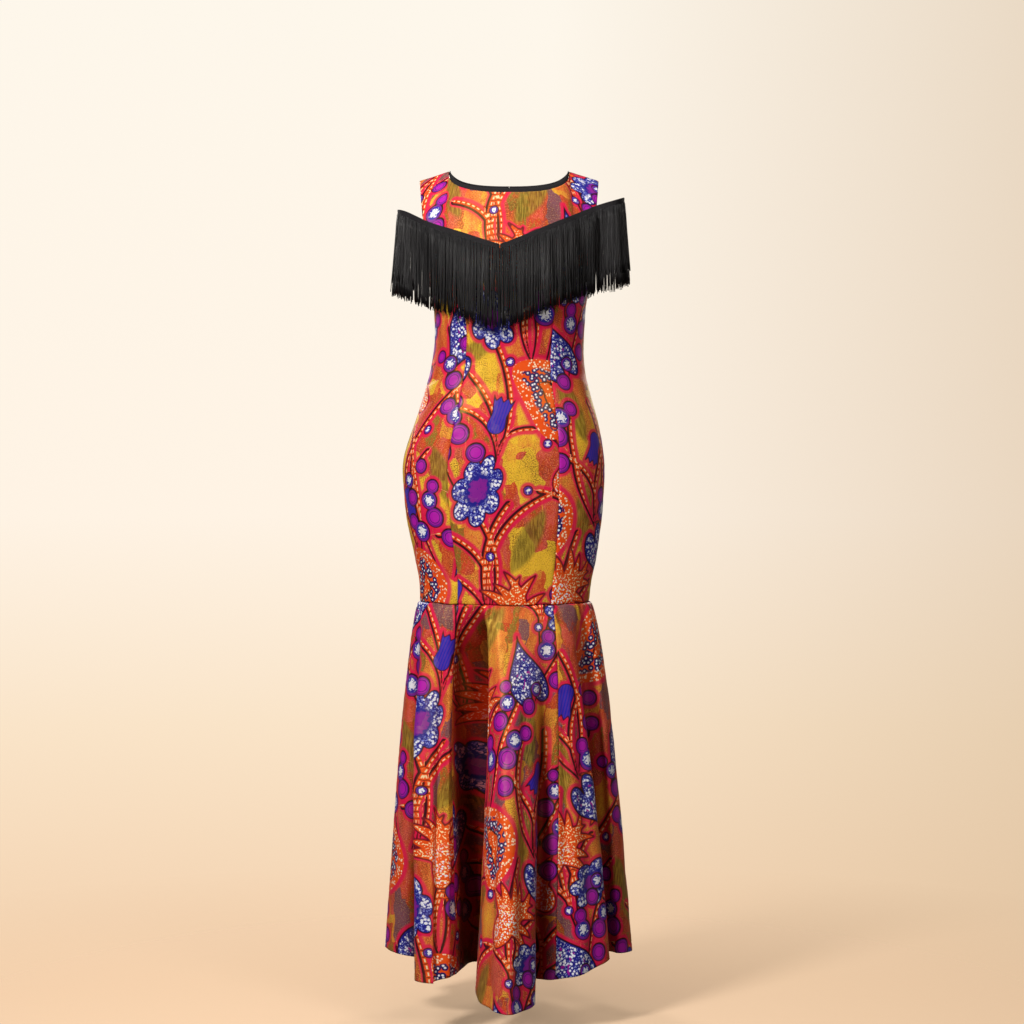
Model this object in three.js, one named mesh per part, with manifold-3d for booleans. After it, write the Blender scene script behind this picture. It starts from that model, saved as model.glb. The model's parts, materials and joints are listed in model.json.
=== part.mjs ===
// A sleeveless ankara maxi dress as it is worn: a boat neck, armhole princess seams, a fitted body
// down to the knee, a fluted mermaid flounce, and a black fringe that hangs from a V across the chest
// and passes round both upper arms. It is hollow, and each cut piece of cloth is a wall of its own.
//
// Millimetres. +Z is up, -Y is the front and +X is to the right of someone who faces the dress.
// The origin lies midway between the two neck points, where the wearer's shoulders hold the dress.
import * as THREE from "three";
import { mergeVertices } from "three/addons/utils/BufferGeometryUtils.js";
import Module from "manifold-3d";

const wasm = await Module();
wasm.setup();

// ---------- Driving sizes ----------
const WALL = 1.6; // thickness of the cloth
const SEAM_GAP = 0.3; // between two cut pieces that are sewn together
const UNDERARM_Z = -205;
const KNEE_SEAM_Z = -750;
const HEM_Z = -1372;
const SECTION_POWER = 2 / 2.3; // superellipse power of the body's level sections
const HALF_TURN = Math.PI;
const QUARTER_TURN = Math.PI / 2;
const FULL_DEG = 180; // the centre back, where deg is 0 at the centre front

// Level sections of the fitted body, from the knee seam up to the underarm.
const BODY = [
  { z: -750, centre_x: -8, half_width: 148, front: 106, back: 102 },
  { z: -714, centre_x: -6.5, half_width: 150.5, front: 107, back: 105 },
  { z: -679, centre_x: -6, half_width: 157.5, front: 109, back: 109 },
  { z: -609, centre_x: -8.5, half_width: 170, front: 113, back: 119 },
  { z: -539, centre_x: -9.5, half_width: 176, front: 115, back: 127 },
  { z: -504, centre_x: -9, half_width: 175.5, front: 115, back: 127 },
  { z: -469, centre_x: -7, half_width: 168.5, front: 113, back: 122 },
  { z: -434, centre_x: -4.5, half_width: 158.5, front: 110, back: 113 },
  { z: -399, centre_x: -3.5, half_width: 148, front: 106, back: 102 },
  { z: -364, centre_x: -3, half_width: 138.5, front: 103, back: 92 },
  { z: -329, centre_x: -1.5, half_width: 132.5, front: 101, back: 86 },
  { z: -290, centre_x: 0.5, half_width: 130.5, front: 104, back: 86 },
  { z: -245, centre_x: 1, half_width: 132.5, front: 110, back: 91 },
  { z: -205, centre_x: 0, half_width: 138, front: 112, back: 95 },
];

// The fullness that the princess seams give over the chest: a soft swell on each side.
const CHEST = { swell: 15, at_x: 78, at_z: -212, spread_x: 44, spread_z: 52 };

// The neck and shoulder line. s is the place across a half: 0 at its middle, 1 at the armhole.
const NECK_S = 2 / 3;
const NECK_POWER = 0.74;
const NECK_SPACING = 1.2; // spreads the columns evenly along the neckline
const NECK_POINT = { x: 106, y: 12, z: 2 };
const SHOULDER_TIP = { x: 157, y: 8, z: -15 };
const NECKLINE = {
  front: { y: -76, z: -46, side_y: -40, side_z: -54, chest_y: -112, armhole_y: -66, upper_y: 20 },
  back: { y: 72, z: -24, side_y: 44, side_z: -44, chest_y: 96, armhole_y: 66, upper_y: -12 },
};
const SHOULDER_RISE = { y: 5, z: 2.5 }; // powers with which the straps leave the line of the chest

// Princess seams: their place across each half, at the knee, the waist, the underarm and the armhole.
const PRINCESS_S = { front: 0.33, back: 0.3 };
const PRINCESS_UNDERARM_S = { front: 0.4, back: 0.42 };
const PRINCESS_TOP = 0.5; // the share of the yoke's height where the seam runs into the armhole
const SIDE_TOP = 1.48; // the level where a side panel ends, just short of that point
const SEAM_LEVEL = 0.01; // the share of the yoke's height that counts as its shoulder seam

// Rows and columns of the body's walls.
const TUBE_ROWS = 14;
const YOKE_ROWS = 8;
const COLUMNS = { centre_front: 18, side_front: 6, centre_back: 9, side_back: 6 };

// The flounce's flutes, all round the hem: deg is where each one starts on the knee seam, from -90
// at the left side through 0 at the centre front; x and y are the hem's place, drop is its extra
// length, and grow is the power with which the flute grows down the fall.
const FLUTES = [
  { name: "left_side_ridge", deg: -90, x: -216, y: -4, drop: -19, grow: 1 },
  { name: "left_side_face", deg: -81, x: -193, y: -62, drop: -17, grow: 1 },
  { name: "valley_1", deg: -72, x: -139, y: -88, drop: -8, grow: 0.9 },
  { name: "left_ridge_edge", deg: -63, x: -150, y: -152, drop: 8, grow: 0.95 },
  { name: "left_ridge", deg: -48, x: -126, y: -190, drop: 9, grow: 1 },
  { name: "left_ridge_inner", deg: -31, x: -88, y: -146, drop: 2, grow: 0.85 },
  { name: "valley_2", deg: -18, x: -50, y: -66, drop: 0, grow: 0.7 },
  { name: "centre_ridge_edge", deg: -8, x: -52, y: -204, drop: 32, grow: 0.8 },
  { name: "centre_ridge", deg: 2, x: -4, y: -286, drop: 40, grow: 1 },
  { name: "centre_ridge_inner", deg: 12, x: 42, y: -226, drop: 36, grow: 1.2 },
  { name: "valley_3", deg: 21, x: 37, y: -146, drop: 13, grow: 1.4 },
  { name: "right_panel", deg: 29, x: 74, y: -158, drop: 9, grow: 1.2 },
  { name: "right_panel_middle", deg: 37, x: 122, y: -148, drop: 3, grow: 1 },
  { name: "right_panel_edge", deg: 46, x: 172, y: -96, drop: -14, grow: 0.9 },
  { name: "valley_4", deg: 56, x: 148, y: -14, drop: -12, grow: 0.7 },
  { name: "right_side_face", deg: 70, x: 192, y: -50, drop: -15, grow: 0.9 },
  { name: "right_side_ridge", deg: 88, x: 214, y: -2, drop: -12, grow: 1 },
  { name: "valley_5", deg: 104, x: 178, y: 60, drop: -6, grow: 0.9 },
  { name: "back_ridge_1", deg: 119, x: 184, y: 122, drop: 2, grow: 1 },
  { name: "valley_6", deg: 136, x: 118, y: 118, drop: 2, grow: 0.8 },
  { name: "back_ridge_2", deg: 152, x: 98, y: 180, drop: 8, grow: 1 },
  { name: "valley_7", deg: 167, x: 38, y: 136, drop: 6, grow: 0.9 },
  { name: "back_ridge_3", deg: 181, x: -4, y: 194, drop: 12, grow: 1.1 },
  { name: "valley_8", deg: 195, x: -46, y: 138, drop: 6, grow: 0.9 },
  { name: "back_ridge_4", deg: 210, x: -102, y: 182, drop: 8, grow: 1 },
  { name: "valley_9", deg: 226, x: -122, y: 118, drop: 2, grow: 0.8 },
  { name: "back_ridge_5", deg: 242, x: -186, y: 118, drop: -2, grow: 1 },
  { name: "valley_10", deg: 257, x: -178, y: 58, drop: -10, grow: 0.9 },
];
const FLARE = { half_width: 213, front: 170, back: 150, spread: 0.6 };
const FLOUNCE_STEPS = [0, 0.04, 0.12, 0.24, 0.38, 0.54, 0.7, 0.85, 1];
const FLOUNCE_COLUMNS = { front: 60, back: 26 };
const SIDE_SEAM_DEG = 90;

// The black band inside the neckline.
const NECK_BAND = {
  thickness: 1.2,
  above: 7,
  clear: 1.1,
  shoulder_clear: 6.4,
  lean: 0.6,
  out_s: 0.07,
  down_level: 0.035,
  columns: 12,
  end_gap: 0.4,
  zip_s: 0.012,
};

// The fringe: its header tape lies on the chest and back and passes round both upper arms.
const TAPE = { height: 12, thickness: 2, clear: 0.75, point_gap: 1, samples: 12 };
const TAPE_V = {
  front: { point_x: -16, point_z: -139, left_x: -150, left_z: -90, right_x: 148, right_z: -66, bend: 1.1 },
  back: { point_x: 0, point_z: -128, left_x: -150, left_z: -84, right_x: 148, right_z: -62, bend: 1.2 },
};
const ARM_ROUND = {
  left: [
    { x: -176, y: -47, z: -76 },
    { x: -193.5, y: -2, z: -67 },
    { x: -177, y: 44, z: -72 },
  ],
  right: [
    { x: 184, y: -45, z: -55 },
    { x: 200, y: -2, z: -46 },
    { x: 185, y: 44, z: -54 },
  ],
};
const ARM_CENTRE_X = 150;
const BESIDE = 8; // a place this far from the body's edge is beside the body
const STRANDS = 176;
const STRAND = {
  length: 140,
  share: 0.56,
  tip: 0.6,
  checks: 12,
  clear: 2.4,
  uneven: 5,
  arm_push: 11,
  arm_from_x: 150,
  arm_over_x: 30,
};
const STRAND_STEPS = [0, 0.25, 1];

// The concealed zip's slider and pull at the centre back.
const ZIP = { down_level: 0.07, width: 5.5, waist: 0.75, height: 9, depth: 2, clear: 0.5 };
const BAIL = { inner: 1, outer: 1.9, width: 1.3, lift: 1.5, segments: 10 };
const PULL = {
  bar: 0.5,
  eye: 3.6,
  eye_half: 1.15,
  rail: 1.05,
  length: 23,
  wide: 3.4,
  thickness: 1,
  segments: 6,
};

// ---------- Small helpers ----------
const mix = (a, b, k) => a + (b - a) * k;
const clamp01 = (k) => Math.min(1, Math.max(0, k));
const power = (value, exponent) => Math.sign(value) * Math.abs(value) ** exponent;

// The value of one column of a table at a place, on a smooth curve through its rows.
function columnAt(rows, by, column, at, period = 0) {
  const count = rows.length;
  const row = (i) => {
    const turns = Math.floor(i / count);
    if (!period) return rows[Math.min(count - 1, Math.max(0, i))];
    const source = rows[i - turns * count];
    return { ...source, [by]: source[by] + turns * period };
  };
  let i = 0;
  while (i < count - (period ? 1 : 2) && row(i + 1)[by] < at) i += 1;
  const [before, low, high, after] = [row(i - 1), row(i), row(i + 1), row(i + 2)];
  const slope = (p, q) => (q[by] === p[by] ? 0 : (q[column] - p[column]) / (q[by] - p[by]));
  const span = high[by] - low[by];
  const k = (at - low[by]) / span;
  const startSlope = before === low ? slope(low, high) : slope(before, high);
  const endSlope = after === high ? slope(low, high) : slope(low, after);
  const k2 = k * k;
  const k3 = k2 * k;
  return (
    low[column] * (2 * k3 - 3 * k2 + 1) +
    startSlope * span * (k3 - 2 * k2 + k) +
    high[column] * (3 * k2 - 2 * k3) +
    endSlope * span * (k3 - k2)
  );
}

// ---------- The body's surface ----------
// half is "front" or "back". s runs from -1 at the left side to 1 at the right side. level runs
// from 0 at the knee seam to 1 at the underarm, and on to 2 at the neck and shoulders.
function tubePoint(half, s, z) {
  const angle = s * QUARTER_TURN;
  const depth = columnAt(BODY, "z", half, z);
  const x =
    columnAt(BODY, "z", "centre_x", z) +
    columnAt(BODY, "z", "half_width", z) * power(Math.sin(angle), SECTION_POWER);
  const across = power(Math.max(0, Math.cos(angle)), SECTION_POWER);
  const swell = half === "front" ? chestSwell(x, z) * across : 0;
  const y = (half === "front" ? -1 : 1) * (depth * across + swell);
  return new THREE.Vector3(x, y, z);
}

function chestSwell(x, z) {
  const lift = ((z - CHEST.at_z) / CHEST.spread_z) ** 2;
  const side = (centre) => Math.exp(-0.5 * (((x - centre) / CHEST.spread_x) ** 2 + lift));
  return CHEST.swell * (side(-CHEST.at_x) + side(CHEST.at_x));
}

function topPoint(half, s) {
  const share = Math.abs(s);
  const side = Math.sign(s);
  if (share >= NECK_S) {
    const k = (share - NECK_S) / (1 - NECK_S);
    return new THREE.Vector3(
      side * mix(NECK_POINT.x, SHOULDER_TIP.x, k),
      mix(NECK_POINT.y, SHOULDER_TIP.y, k),
      mix(NECK_POINT.z, SHOULDER_TIP.z, k),
    );
  }
  const angle = (share / NECK_S) ** NECK_SPACING * QUARTER_TURN;
  const across = Math.cos(angle) ** NECK_POWER;
  return new THREE.Vector3(
    side * NECK_POINT.x * Math.sin(angle) ** NECK_POWER,
    mix(NECK_POINT.y, NECKLINE[half].y, across),
    mix(NECK_POINT.z, NECKLINE[half].z, across),
  );
}

// The yoke: each line from the underarm section is a cubic Bezier up to a smooth line across the
// chest, and the neckline and straps rise from that line towards the top.
function yokePoint(half, s, v) {
  const shape = NECKLINE[half];
  const low = tubePoint(half, s, UNDERARM_Z);
  const top = topPoint(half, s);
  const side = (top.x / SHOULDER_TIP.x) ** 2;
  const high = new THREE.Vector3(top.x, mix(shape.y, shape.side_y, side), mix(shape.z, shape.side_z, side));
  const edge = s ** 4;
  const chestY = mix(shape.chest_y, shape.armhole_y, s * s);
  const rise = high.z - low.z;
  const first = new THREE.Vector3(
    mix(low.x, high.x, mix(0.2, 0, edge)),
    mix(low.y, chestY, mix(0.35, 1.15, edge)),
    low.z + rise * mix(0.33, 0.12, edge),
  );
  const second = new THREE.Vector3(
    mix(low.x, high.x, mix(0.9, 0.65, edge)),
    high.y - shape.upper_y,
    high.z - rise * 0.28,
  );
  const point = new THREE.CubicBezierCurve3(low, first, second, high).getPoint(v);
  point.y += (top.y - high.y) * v ** SHOULDER_RISE.y;
  point.z += (top.z - high.z) * v ** SHOULDER_RISE.z;
  return point;
}

function bodyPoint(half, s, level) {
  if (level > 1) return yokePoint(half, s, level - 1);
  return tubePoint(half, s, mix(KNEE_SEAM_Z, UNDERARM_Z, level));
}

// The outward normal of a surface given by point(a, b), where b runs up the dress. side is 1 where
// a runs to the right as seen from outside, and -1 where it runs to the left.
function normalOf(point, a, b, lowest, highest, side, reach = 1) {
  const step = 1e-3;
  const across = point(Math.min(reach, a + step), b).sub(point(Math.max(-reach, a - step), b));
  const up = point(a, Math.min(highest, b + step)).sub(point(a, Math.max(lowest, b - step)));
  return across.cross(up).normalize().multiplyScalar(side);
}

const halfSide = { front: 1, back: -1 };
const halfOutward = { front: -1, back: 1 }; // along Y

// Along a shoulder seam both sides share one normal, square to the seam.
function shoulderNormal(side) {
  const along = new THREE.Vector3(
    side * (SHOULDER_TIP.x - NECK_POINT.x),
    SHOULDER_TIP.y - NECK_POINT.y,
    SHOULDER_TIP.z - NECK_POINT.z,
  );
  return along.cross(new THREE.Vector3(0, side, 0)).normalize();
}

function bodyNormal(half, s, level) {
  if (level > 2 - SEAM_LEVEL && Math.abs(s) > NECK_S - 1e-4) return shoulderNormal(Math.sign(s));
  const lowest = level > 1 ? 1 + 1e-6 : 0;
  const highest = level > 1 ? 2 : 1;
  return normalOf((a, b) => bodyPoint(half, a, b), s, level, lowest, highest, halfSide[half]);
}

// ---------- Walls ----------
function closedGeometry(vertices, triangles) {
  const geometry = new THREE.BufferGeometry();
  const values = vertices.flatMap((v) => [v.x, v.y, v.z]);
  geometry.setAttribute("position", new THREE.Float32BufferAttribute(values, 3));
  geometry.setIndex(triangles.flat());
  geometry.computeVertexNormals();
  return geometry;
}

// A wall from a grid of outer points and their outward normals. Rows run up the dress, and columns
// run to the right as seen from outside.
function wallGeometry(outer, normals, thickness) {
  const rows = outer.length;
  const columns = outer[0].length;
  const inner = outer.map((line, i) =>
    line.map((p, j) => p.clone().addScaledVector(normals[i][j], -thickness)),
  );
  const vertices = [...outer.flat(), ...inner.flat()];
  const out = (i, j) => i * columns + j;
  const back = (i, j) => rows * columns + out(i, j);
  const triangles = [];
  const quad = (a, b, c, d) => triangles.push([a, b, c], [a, c, d]);
  for (let i = 0; i < rows - 1; i += 1) {
    for (let j = 0; j < columns - 1; j += 1) {
      quad(out(i, j), out(i, j + 1), out(i + 1, j + 1), out(i + 1, j));
      quad(back(i, j), back(i + 1, j), back(i + 1, j + 1), back(i, j + 1));
    }
    quad(out(i, 0), out(i + 1, 0), back(i + 1, 0), back(i, 0));
    quad(out(i, columns - 1), back(i, columns - 1), back(i + 1, columns - 1), out(i + 1, columns - 1));
  }
  for (let j = 0; j < columns - 1; j += 1) {
    quad(out(0, j), back(0, j), back(0, j + 1), out(0, j + 1));
    quad(out(rows - 1, j), out(rows - 1, j + 1), back(rows - 1, j + 1), back(rows - 1, j));
  }
  return closedGeometry(vertices, triangles);
}

// ---------- The fitted body's panels ----------
function princessS(half, level) {
  const low = PRINCESS_S[half];
  const underarm = PRINCESS_UNDERARM_S[half];
  if (level <= 1) return mix(low, underarm, clamp01((level - 0.7) / 0.3) ** 2);
  return mix(underarm, 1, clamp01((level - 1) / PRINCESS_TOP) ** 1.7);
}

function bodyLevels(top) {
  const levels = [];
  for (let i = 0; i <= TUBE_ROWS; i += 1) levels.push(i / TUBE_ROWS);
  for (let i = 1; i <= YOKE_ROWS; i += 1) levels.push(1 + i / YOKE_ROWS);
  return [...levels.filter((level) => level < top), top];
}

// The seam runs straight from row to row, so that both of its panels share it.
function seamS(half, level) {
  const rows = bodyLevels(2);
  const i = Math.max(1, rows.findIndex((row) => row >= level));
  const share = (level - rows[i - 1]) / (rows[i] - rows[i - 1]);
  return mix(princessS(half, rows[i - 1]), princessS(half, rows[i]), share);
}

// The change of s, or of level, that moves a point by half the seam gap.
function halfGap(point, at, towards) {
  const step = 1e-3 * towards;
  return ((SEAM_GAP / 2) * 1e-3) / point(at + step).distanceTo(point(at));
}

// One panel between two seams. leftOf and rightOf give the seams' places across the half.
function panelGeometry(half, columns, leftOf, rightOf, top) {
  const levels = bodyLevels(top);
  const outer = [];
  const normals = [];
  levels.forEach((rowLevel, i) => {
    const left = leftOf(rowLevel);
    const right = rightOf(rowLevel);
    const start = left + halfGap((s) => bodyPoint(half, s, rowLevel), left, 1);
    const end = right - halfGap((s) => bodyPoint(half, s, rowLevel), right, -1);
    const points = [];
    const directions = [];
    for (let j = 0; j <= columns; j += 1) {
      const s = mix(start, end, j / columns);
      let level = rowLevel;
      if (i === 0) level += halfGap((at) => bodyPoint(half, s, at), level, 1);
      if (i === levels.length - 1) level -= halfGap((at) => bodyPoint(half, s, at), level, -1);
      points.push(bodyPoint(half, s, level));
      directions.push(bodyNormal(half, s, level));
    }
    outer.push(half === "back" ? points.reverse() : points);
    normals.push(half === "back" ? directions.reverse() : directions);
  });
  return wallGeometry(outer, normals, WALL);
}

const seam = (half, side) => (level) => side * seamS(half, level);
const fixedAt = (s) => () => s;

const panels = {
  front_centre: () =>
    panelGeometry("front", COLUMNS.centre_front, seam("front", -1), seam("front", 1), 2),
  front_side_left: () =>
    panelGeometry("front", COLUMNS.side_front, fixedAt(-1), seam("front", -1), SIDE_TOP),
  front_side_right: () =>
    panelGeometry("front", COLUMNS.side_front, seam("front", 1), fixedAt(1), SIDE_TOP),
  back_centre_left: () =>
    panelGeometry("back", COLUMNS.centre_back, seam("back", -1), fixedAt(0), 2),
  back_centre_right: () =>
    panelGeometry("back", COLUMNS.centre_back, fixedAt(0), seam("back", 1), 2),
  back_side_left: () =>
    panelGeometry("back", COLUMNS.side_back, fixedAt(-1), seam("back", -1), SIDE_TOP),
  back_side_right: () =>
    panelGeometry("back", COLUMNS.side_back, seam("back", 1), fixedAt(1), SIDE_TOP),
};

// ---------- The flounce ----------
// deg runs round the knee seam, to the right as seen from outside. rise is 0 at the hem and 1 at
// the seam. The flutes grow out of a plain flare.
function flouncePoint(deg, rise) {
  const fall = 1 - rise;
  const half = deg <= SIDE_SEAM_DEG ? "front" : "back";
  const s = half === "front" ? deg / SIDE_SEAM_DEG : 2 - deg / SIDE_SEAM_DEG;
  const outward = half === "front" ? -1 : 1;
  const angle = s * QUARTER_TURN;
  const top = tubePoint(half, s, KNEE_SEAM_Z);
  const flareX = FLARE.half_width * power(Math.sin(angle), SECTION_POWER);
  const flareY = outward * FLARE[half] * power(Math.max(0, Math.cos(angle)), SECTION_POWER);
  const hem = (column) => columnAt(FLUTES, "deg", column, deg, 2 * FULL_DEG);
  const spread = fall ** FLARE.spread;
  const relief = fall ** hem("grow");
  return new THREE.Vector3(
    top.x + (flareX - top.x) * spread + (hem("x") - flareX) * relief,
    top.y + (flareY - top.y) * spread + (hem("y") - flareY) * relief,
    KNEE_SEAM_Z + (HEM_Z - KNEE_SEAM_Z) * fall - hem("drop") * relief,
  );
}

function flouncePanel(columns, startDeg, endDeg) {
  const outer = [];
  const normals = [];
  const rises = FLOUNCE_STEPS.map((fall) => 1 - fall).reverse();
  rises.forEach((rowRise, i) => {
    const last = i === rises.length - 1;
    const start = startDeg + halfGap((deg) => flouncePoint(deg, rowRise), startDeg, 1);
    const end = endDeg - halfGap((deg) => flouncePoint(deg, rowRise), endDeg, -1);
    const points = [];
    const directions = [];
    for (let j = 0; j <= columns; j += 1) {
      const deg = mix(start, end, j / columns);
      const rise = last ? 1 - halfGap((at) => flouncePoint(deg, at), 1, -1) : rowRise;
      points.push(flouncePoint(deg, rise));
      directions.push(normalOf(flouncePoint, deg, rise, 0, 1, 1, 2 * FULL_DEG));
    }
    outer.push(points);
    normals.push(directions);
  });
  return wallGeometry(outer, normals, WALL);
}

// ---------- The neck facing ----------
// Three rows: the lower edge inside the body, the neckline, and the edge that stands above it.
function facingGeometry(half, startS, endS) {
  const side = halfSide[half];
  const columns = Math.round((NECK_BAND.columns * Math.abs(endS - startS)) / (2 * NECK_S));
  const rows = [[], [], []];
  const normals = [[], [], []];
  for (let j = 0; j <= columns; j += 1) {
    const s = mix(startS, endS, j / columns);
    const away = (Math.abs(s) / NECK_S) ** 2;
    const inset = WALL + mix(NECK_BAND.clear, NECK_BAND.shoulder_clear, away ** 2);
    const lowS = s * (1 + NECK_BAND.out_s * away);
    const lowLevel = 2 - NECK_BAND.down_level * (1 - away);
    const lowNormal = bodyNormal(half, lowS, lowLevel);
    const normal = bodyNormal(half, s, 2);
    const edge = topPoint(half, s);
    if (j === 0 || j === columns) edge.y += halfOutward[half] * NECK_BAND.end_gap * away;
    const nearer = topPoint(half, s - Math.sign(s || 1) * 1e-3);
    const tangent = edge.clone().sub(nearer).multiplyScalar(Math.sign(s || 1)).normalize();
    const beyond = normal.clone().cross(tangent).normalize().multiplyScalar(side);
    const low = bodyPoint(half, lowS, lowLevel).addScaledVector(lowNormal, -inset - NECK_BAND.lean);
    if (j === 0 || j === columns) low.y += halfOutward[half] * NECK_BAND.end_gap * away;
    rows[0].push(low);
    rows[1].push(edge.clone().addScaledVector(normal, -inset));
    rows[2].push(edge.clone().addScaledVector(normal, -inset).addScaledVector(beyond, NECK_BAND.above));
    normals[0].push(lowNormal);
    normals[1].push(normal);
    normals[2].push(normal);
  }
  return wallGeometry(rows, normals, NECK_BAND.thickness);
}

// ---------- The fringe ----------
// The tape's route on one side: from the point of the V, round the arm, to the centre back.
function tapeRoute(side) {
  const points = [];
  const normals = [];
  const onBody = (half, share) => {
    const line = TAPE_V[half];
    const [endX, endZ] = side < 0 ? [line.left_x, line.left_z] : [line.right_x, line.right_z];
    const x = mix(line.point_x + side * TAPE.point_gap, endX, share);
    const z = mix(line.point_z, endZ, share ** line.bend);
    const met = bodyReach(half, x, z, { s: x / ARM_CENTRE_X, level: 1.5 });
    points.push(new THREE.Vector3(x, met.y, z).addScaledVector(met.normal, TAPE.clear));
    normals.push(met.normal);
  };
  for (let i = 0; i <= TAPE.samples; i += 1) onBody("front", i / TAPE.samples);
  for (const row of ARM_ROUND[side < 0 ? "left" : "right"]) {
    points.push(new THREE.Vector3(row.x, row.y, row.z));
    normals.push(new THREE.Vector3(row.x - side * ARM_CENTRE_X, row.y, 0).normalize());
  }
  for (let i = TAPE.samples; i >= 0; i -= 1) onBody("back", i / TAPE.samples);
  return { points: new THREE.CatmullRomCurve3(points), normals: new THREE.CatmullRomCurve3(normals) };
}

// A place on the route: its point, its outward normal and the way down across the tape.
function tapePlace(route, share, side) {
  const at = route.points.getUtoTmapping(share);
  const point = route.points.getPoint(at);
  const tangent = route.points.getTangent(at);
  const normal = route.normals.getPoint(at).normalize();
  const down = tangent.clone().cross(normal).normalize().multiplyScalar(-side);
  if (down.z > 0) down.negate();
  return { point, normal, down };
}

// How far out the body lies at a place, met by Newton's steps, and whether the place is beside it.
function bodyReach(half, x, z, guess) {
  const at = { s: guess.s, level: guess.level };
  const step = 1e-3;
  const longest = 0.12;
  const held = (move) => Math.min(longest, Math.max(-longest, move));
  for (let i = 0; i < 24; i += 1) {
    const p = bodyPoint(half, at.s, at.level);
    const inS = bodyPoint(half, at.s - Math.sign(at.s || 1) * step, at.level);
    const inL = bodyPoint(half, at.s, at.level - step);
    const [xs, zs] = [-(inS.x - p.x), -(inS.z - p.z)].map((d) => (d * Math.sign(at.s || 1)) / step);
    const [xl, zl] = [(p.x - inL.x) / step, (p.z - inL.z) / step];
    const determinant = xs * zl - xl * zs;
    at.s += held(((x - p.x) * zl - (z - p.z) * xl) / determinant);
    at.level += held(((z - p.z) * xs - (x - p.x) * zs) / determinant);
    at.s = Math.min(1, Math.max(-1, at.s));
    at.level = Math.min(2, Math.max(step, at.level));
  }
  const p = bodyPoint(half, at.s, at.level);
  const beside = Math.hypot(p.x - x, p.z - z) > BESIDE;
  return { ...at, beside, y: p.y, normal: bodyNormal(half, at.s, at.level) };
}

// Moves a point straight forward or back until it is clear of the body.
function keptOutside(point, outward, clear) {
  const half = outward < 0 ? "front" : "back";
  const guess = { s: Math.max(-0.95, Math.min(0.95, point.x / ARM_CENTRE_X)), level: 1.5 };
  const met = bodyReach(half, point.x, point.z, guess);
  if (met.beside) return point;
  const least = outward * met.y + clear / Math.max(0.35, Math.abs(met.normal.y));
  return new THREE.Vector3(point.x, outward * Math.max(outward * point.y, least), point.z);
}

// The tape's four corners at a place on its route: upper inner, upper outer, lower outer, lower inner.
function tapeCorners(route, share, side) {
  const { point, normal, down } = tapePlace(route, share, side);
  const outward = Math.sign(normal.y);
  const corner = (out, drop) => {
    const place = point.clone().addScaledVector(normal, out).addScaledVector(down, drop);
    return keptOutside(place, outward, TAPE.clear + out);
  };
  return [
    corner(0, 0),
    corner(TAPE.thickness, 0),
    corner(TAPE.thickness, TAPE.height),
    corner(0, TAPE.height),
  ];
}

// How far a strand has swung out from its root at each of its steps. It hangs straight down from
// the fullest place that it passes, and over the arm it leans outward.
function strandOffsets(root, normal, length) {
  const outward = Math.sign(normal.y);
  const overArm = clamp01((Math.abs(root.x) - STRAND.arm_from_x) / STRAND.arm_over_x);
  let depth = outward * root.y;
  let above = 0;
  return STRAND_STEPS.map((fall) => {
    const span = Math.max(1, Math.round((fall - above) * STRAND.checks));
    let next = depth;
    for (let i = 1; i <= span && fall > 0 && overArm < 1; i += 1) {
      const z = root.z - length * mix(above, fall, i / span);
      const place = new THREE.Vector3(root.x, outward * depth, z);
      const clear = outward * keptOutside(place, outward, STRAND.clear).y - depth;
      next = Math.max(next, depth + (clear * span) / i);
    }
    depth = next;
    above = fall;
    const push = STRAND.arm_push * overArm * fall ** 0.7;
    const swing = outward * depth - root.y;
    return new THREE.Vector3(normal.x * push, swing + normal.y * push, -length * fall);
  });
}

// One side of the fringe: the tape, and the four-sided strands that leave its lower face.
function fringeGeometry(side) {
  const route = tapeRoute(side);
  const count = STRANDS / 2;
  const vertices = [];
  const triangles = [];
  const quad = (a, b, c, d) => triangles.push([a, b, c], [a, c, d]);
  const addRing = (corners) => vertices.push(...corners) - corners.length;
  const stations = [addRing(tapeCorners(route, 0, side))];
  for (let i = 0; i < count; i += 1) {
    for (const edge of [-1, 1]) {
      const share = (i + 0.5 + (edge * STRAND.share) / 2) / count;
      stations.push(addRing(tapeCorners(route, share, side)));
    }
  }
  stations.push(addRing(tapeCorners(route, 1, side)));
  stations.slice(1).forEach((b, i) => {
    const a = stations[i];
    quad(a, a + 1, b + 1, b);
    quad(a + 1, a + 2, b + 2, b + 1);
    quad(a + 3, a, b, b + 3);
    if (i % 2 === 0) quad(a + 2, a + 3, b + 3, b + 2);
    else addStrand([a + 2, a + 3, b + 3, b + 2], (i - 1) / 2);
  });
  const [first, last] = [stations[0], stations.at(-1)];
  quad(first + 3, first + 2, first + 1, first);
  quad(last, last + 1, last + 2, last + 3);
  return facingOut(vertices, triangles);

  function addStrand(roots, number) {
    const corners = roots.map((i) => vertices[i]);
    const root = corners.reduce((sum, p) => sum.add(p), new THREE.Vector3()).divideScalar(4);
    const { normal } = tapePlace(route, (number + 0.5) / count, side);
    const uneven = (Math.sin(number * 2.4) + Math.sin(number * 5.1 + 1)) / 2;
    const offsets = strandOffsets(root, normal, STRAND.length + STRAND.uneven * uneven);
    let above = roots;
    offsets.slice(1).forEach((offset, k) => {
      const size = mix(1, STRAND.tip, (k + 1) / (offsets.length - 1));
      const start = addRing(
        corners.map((p) => {
          const fromRoot = p.clone().sub(root).multiplyScalar(size);
          return fromRoot.setZ(0).add(root).add(offset);
        }),
      );
      for (let j = 0; j < 4; j += 1) {
        quad(above[j], above[(j + 1) % 4], start + ((j + 1) % 4), start + j);
      }
      above = [start, start + 1, start + 2, start + 3];
    });
    quad(...above);
  }
}

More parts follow.
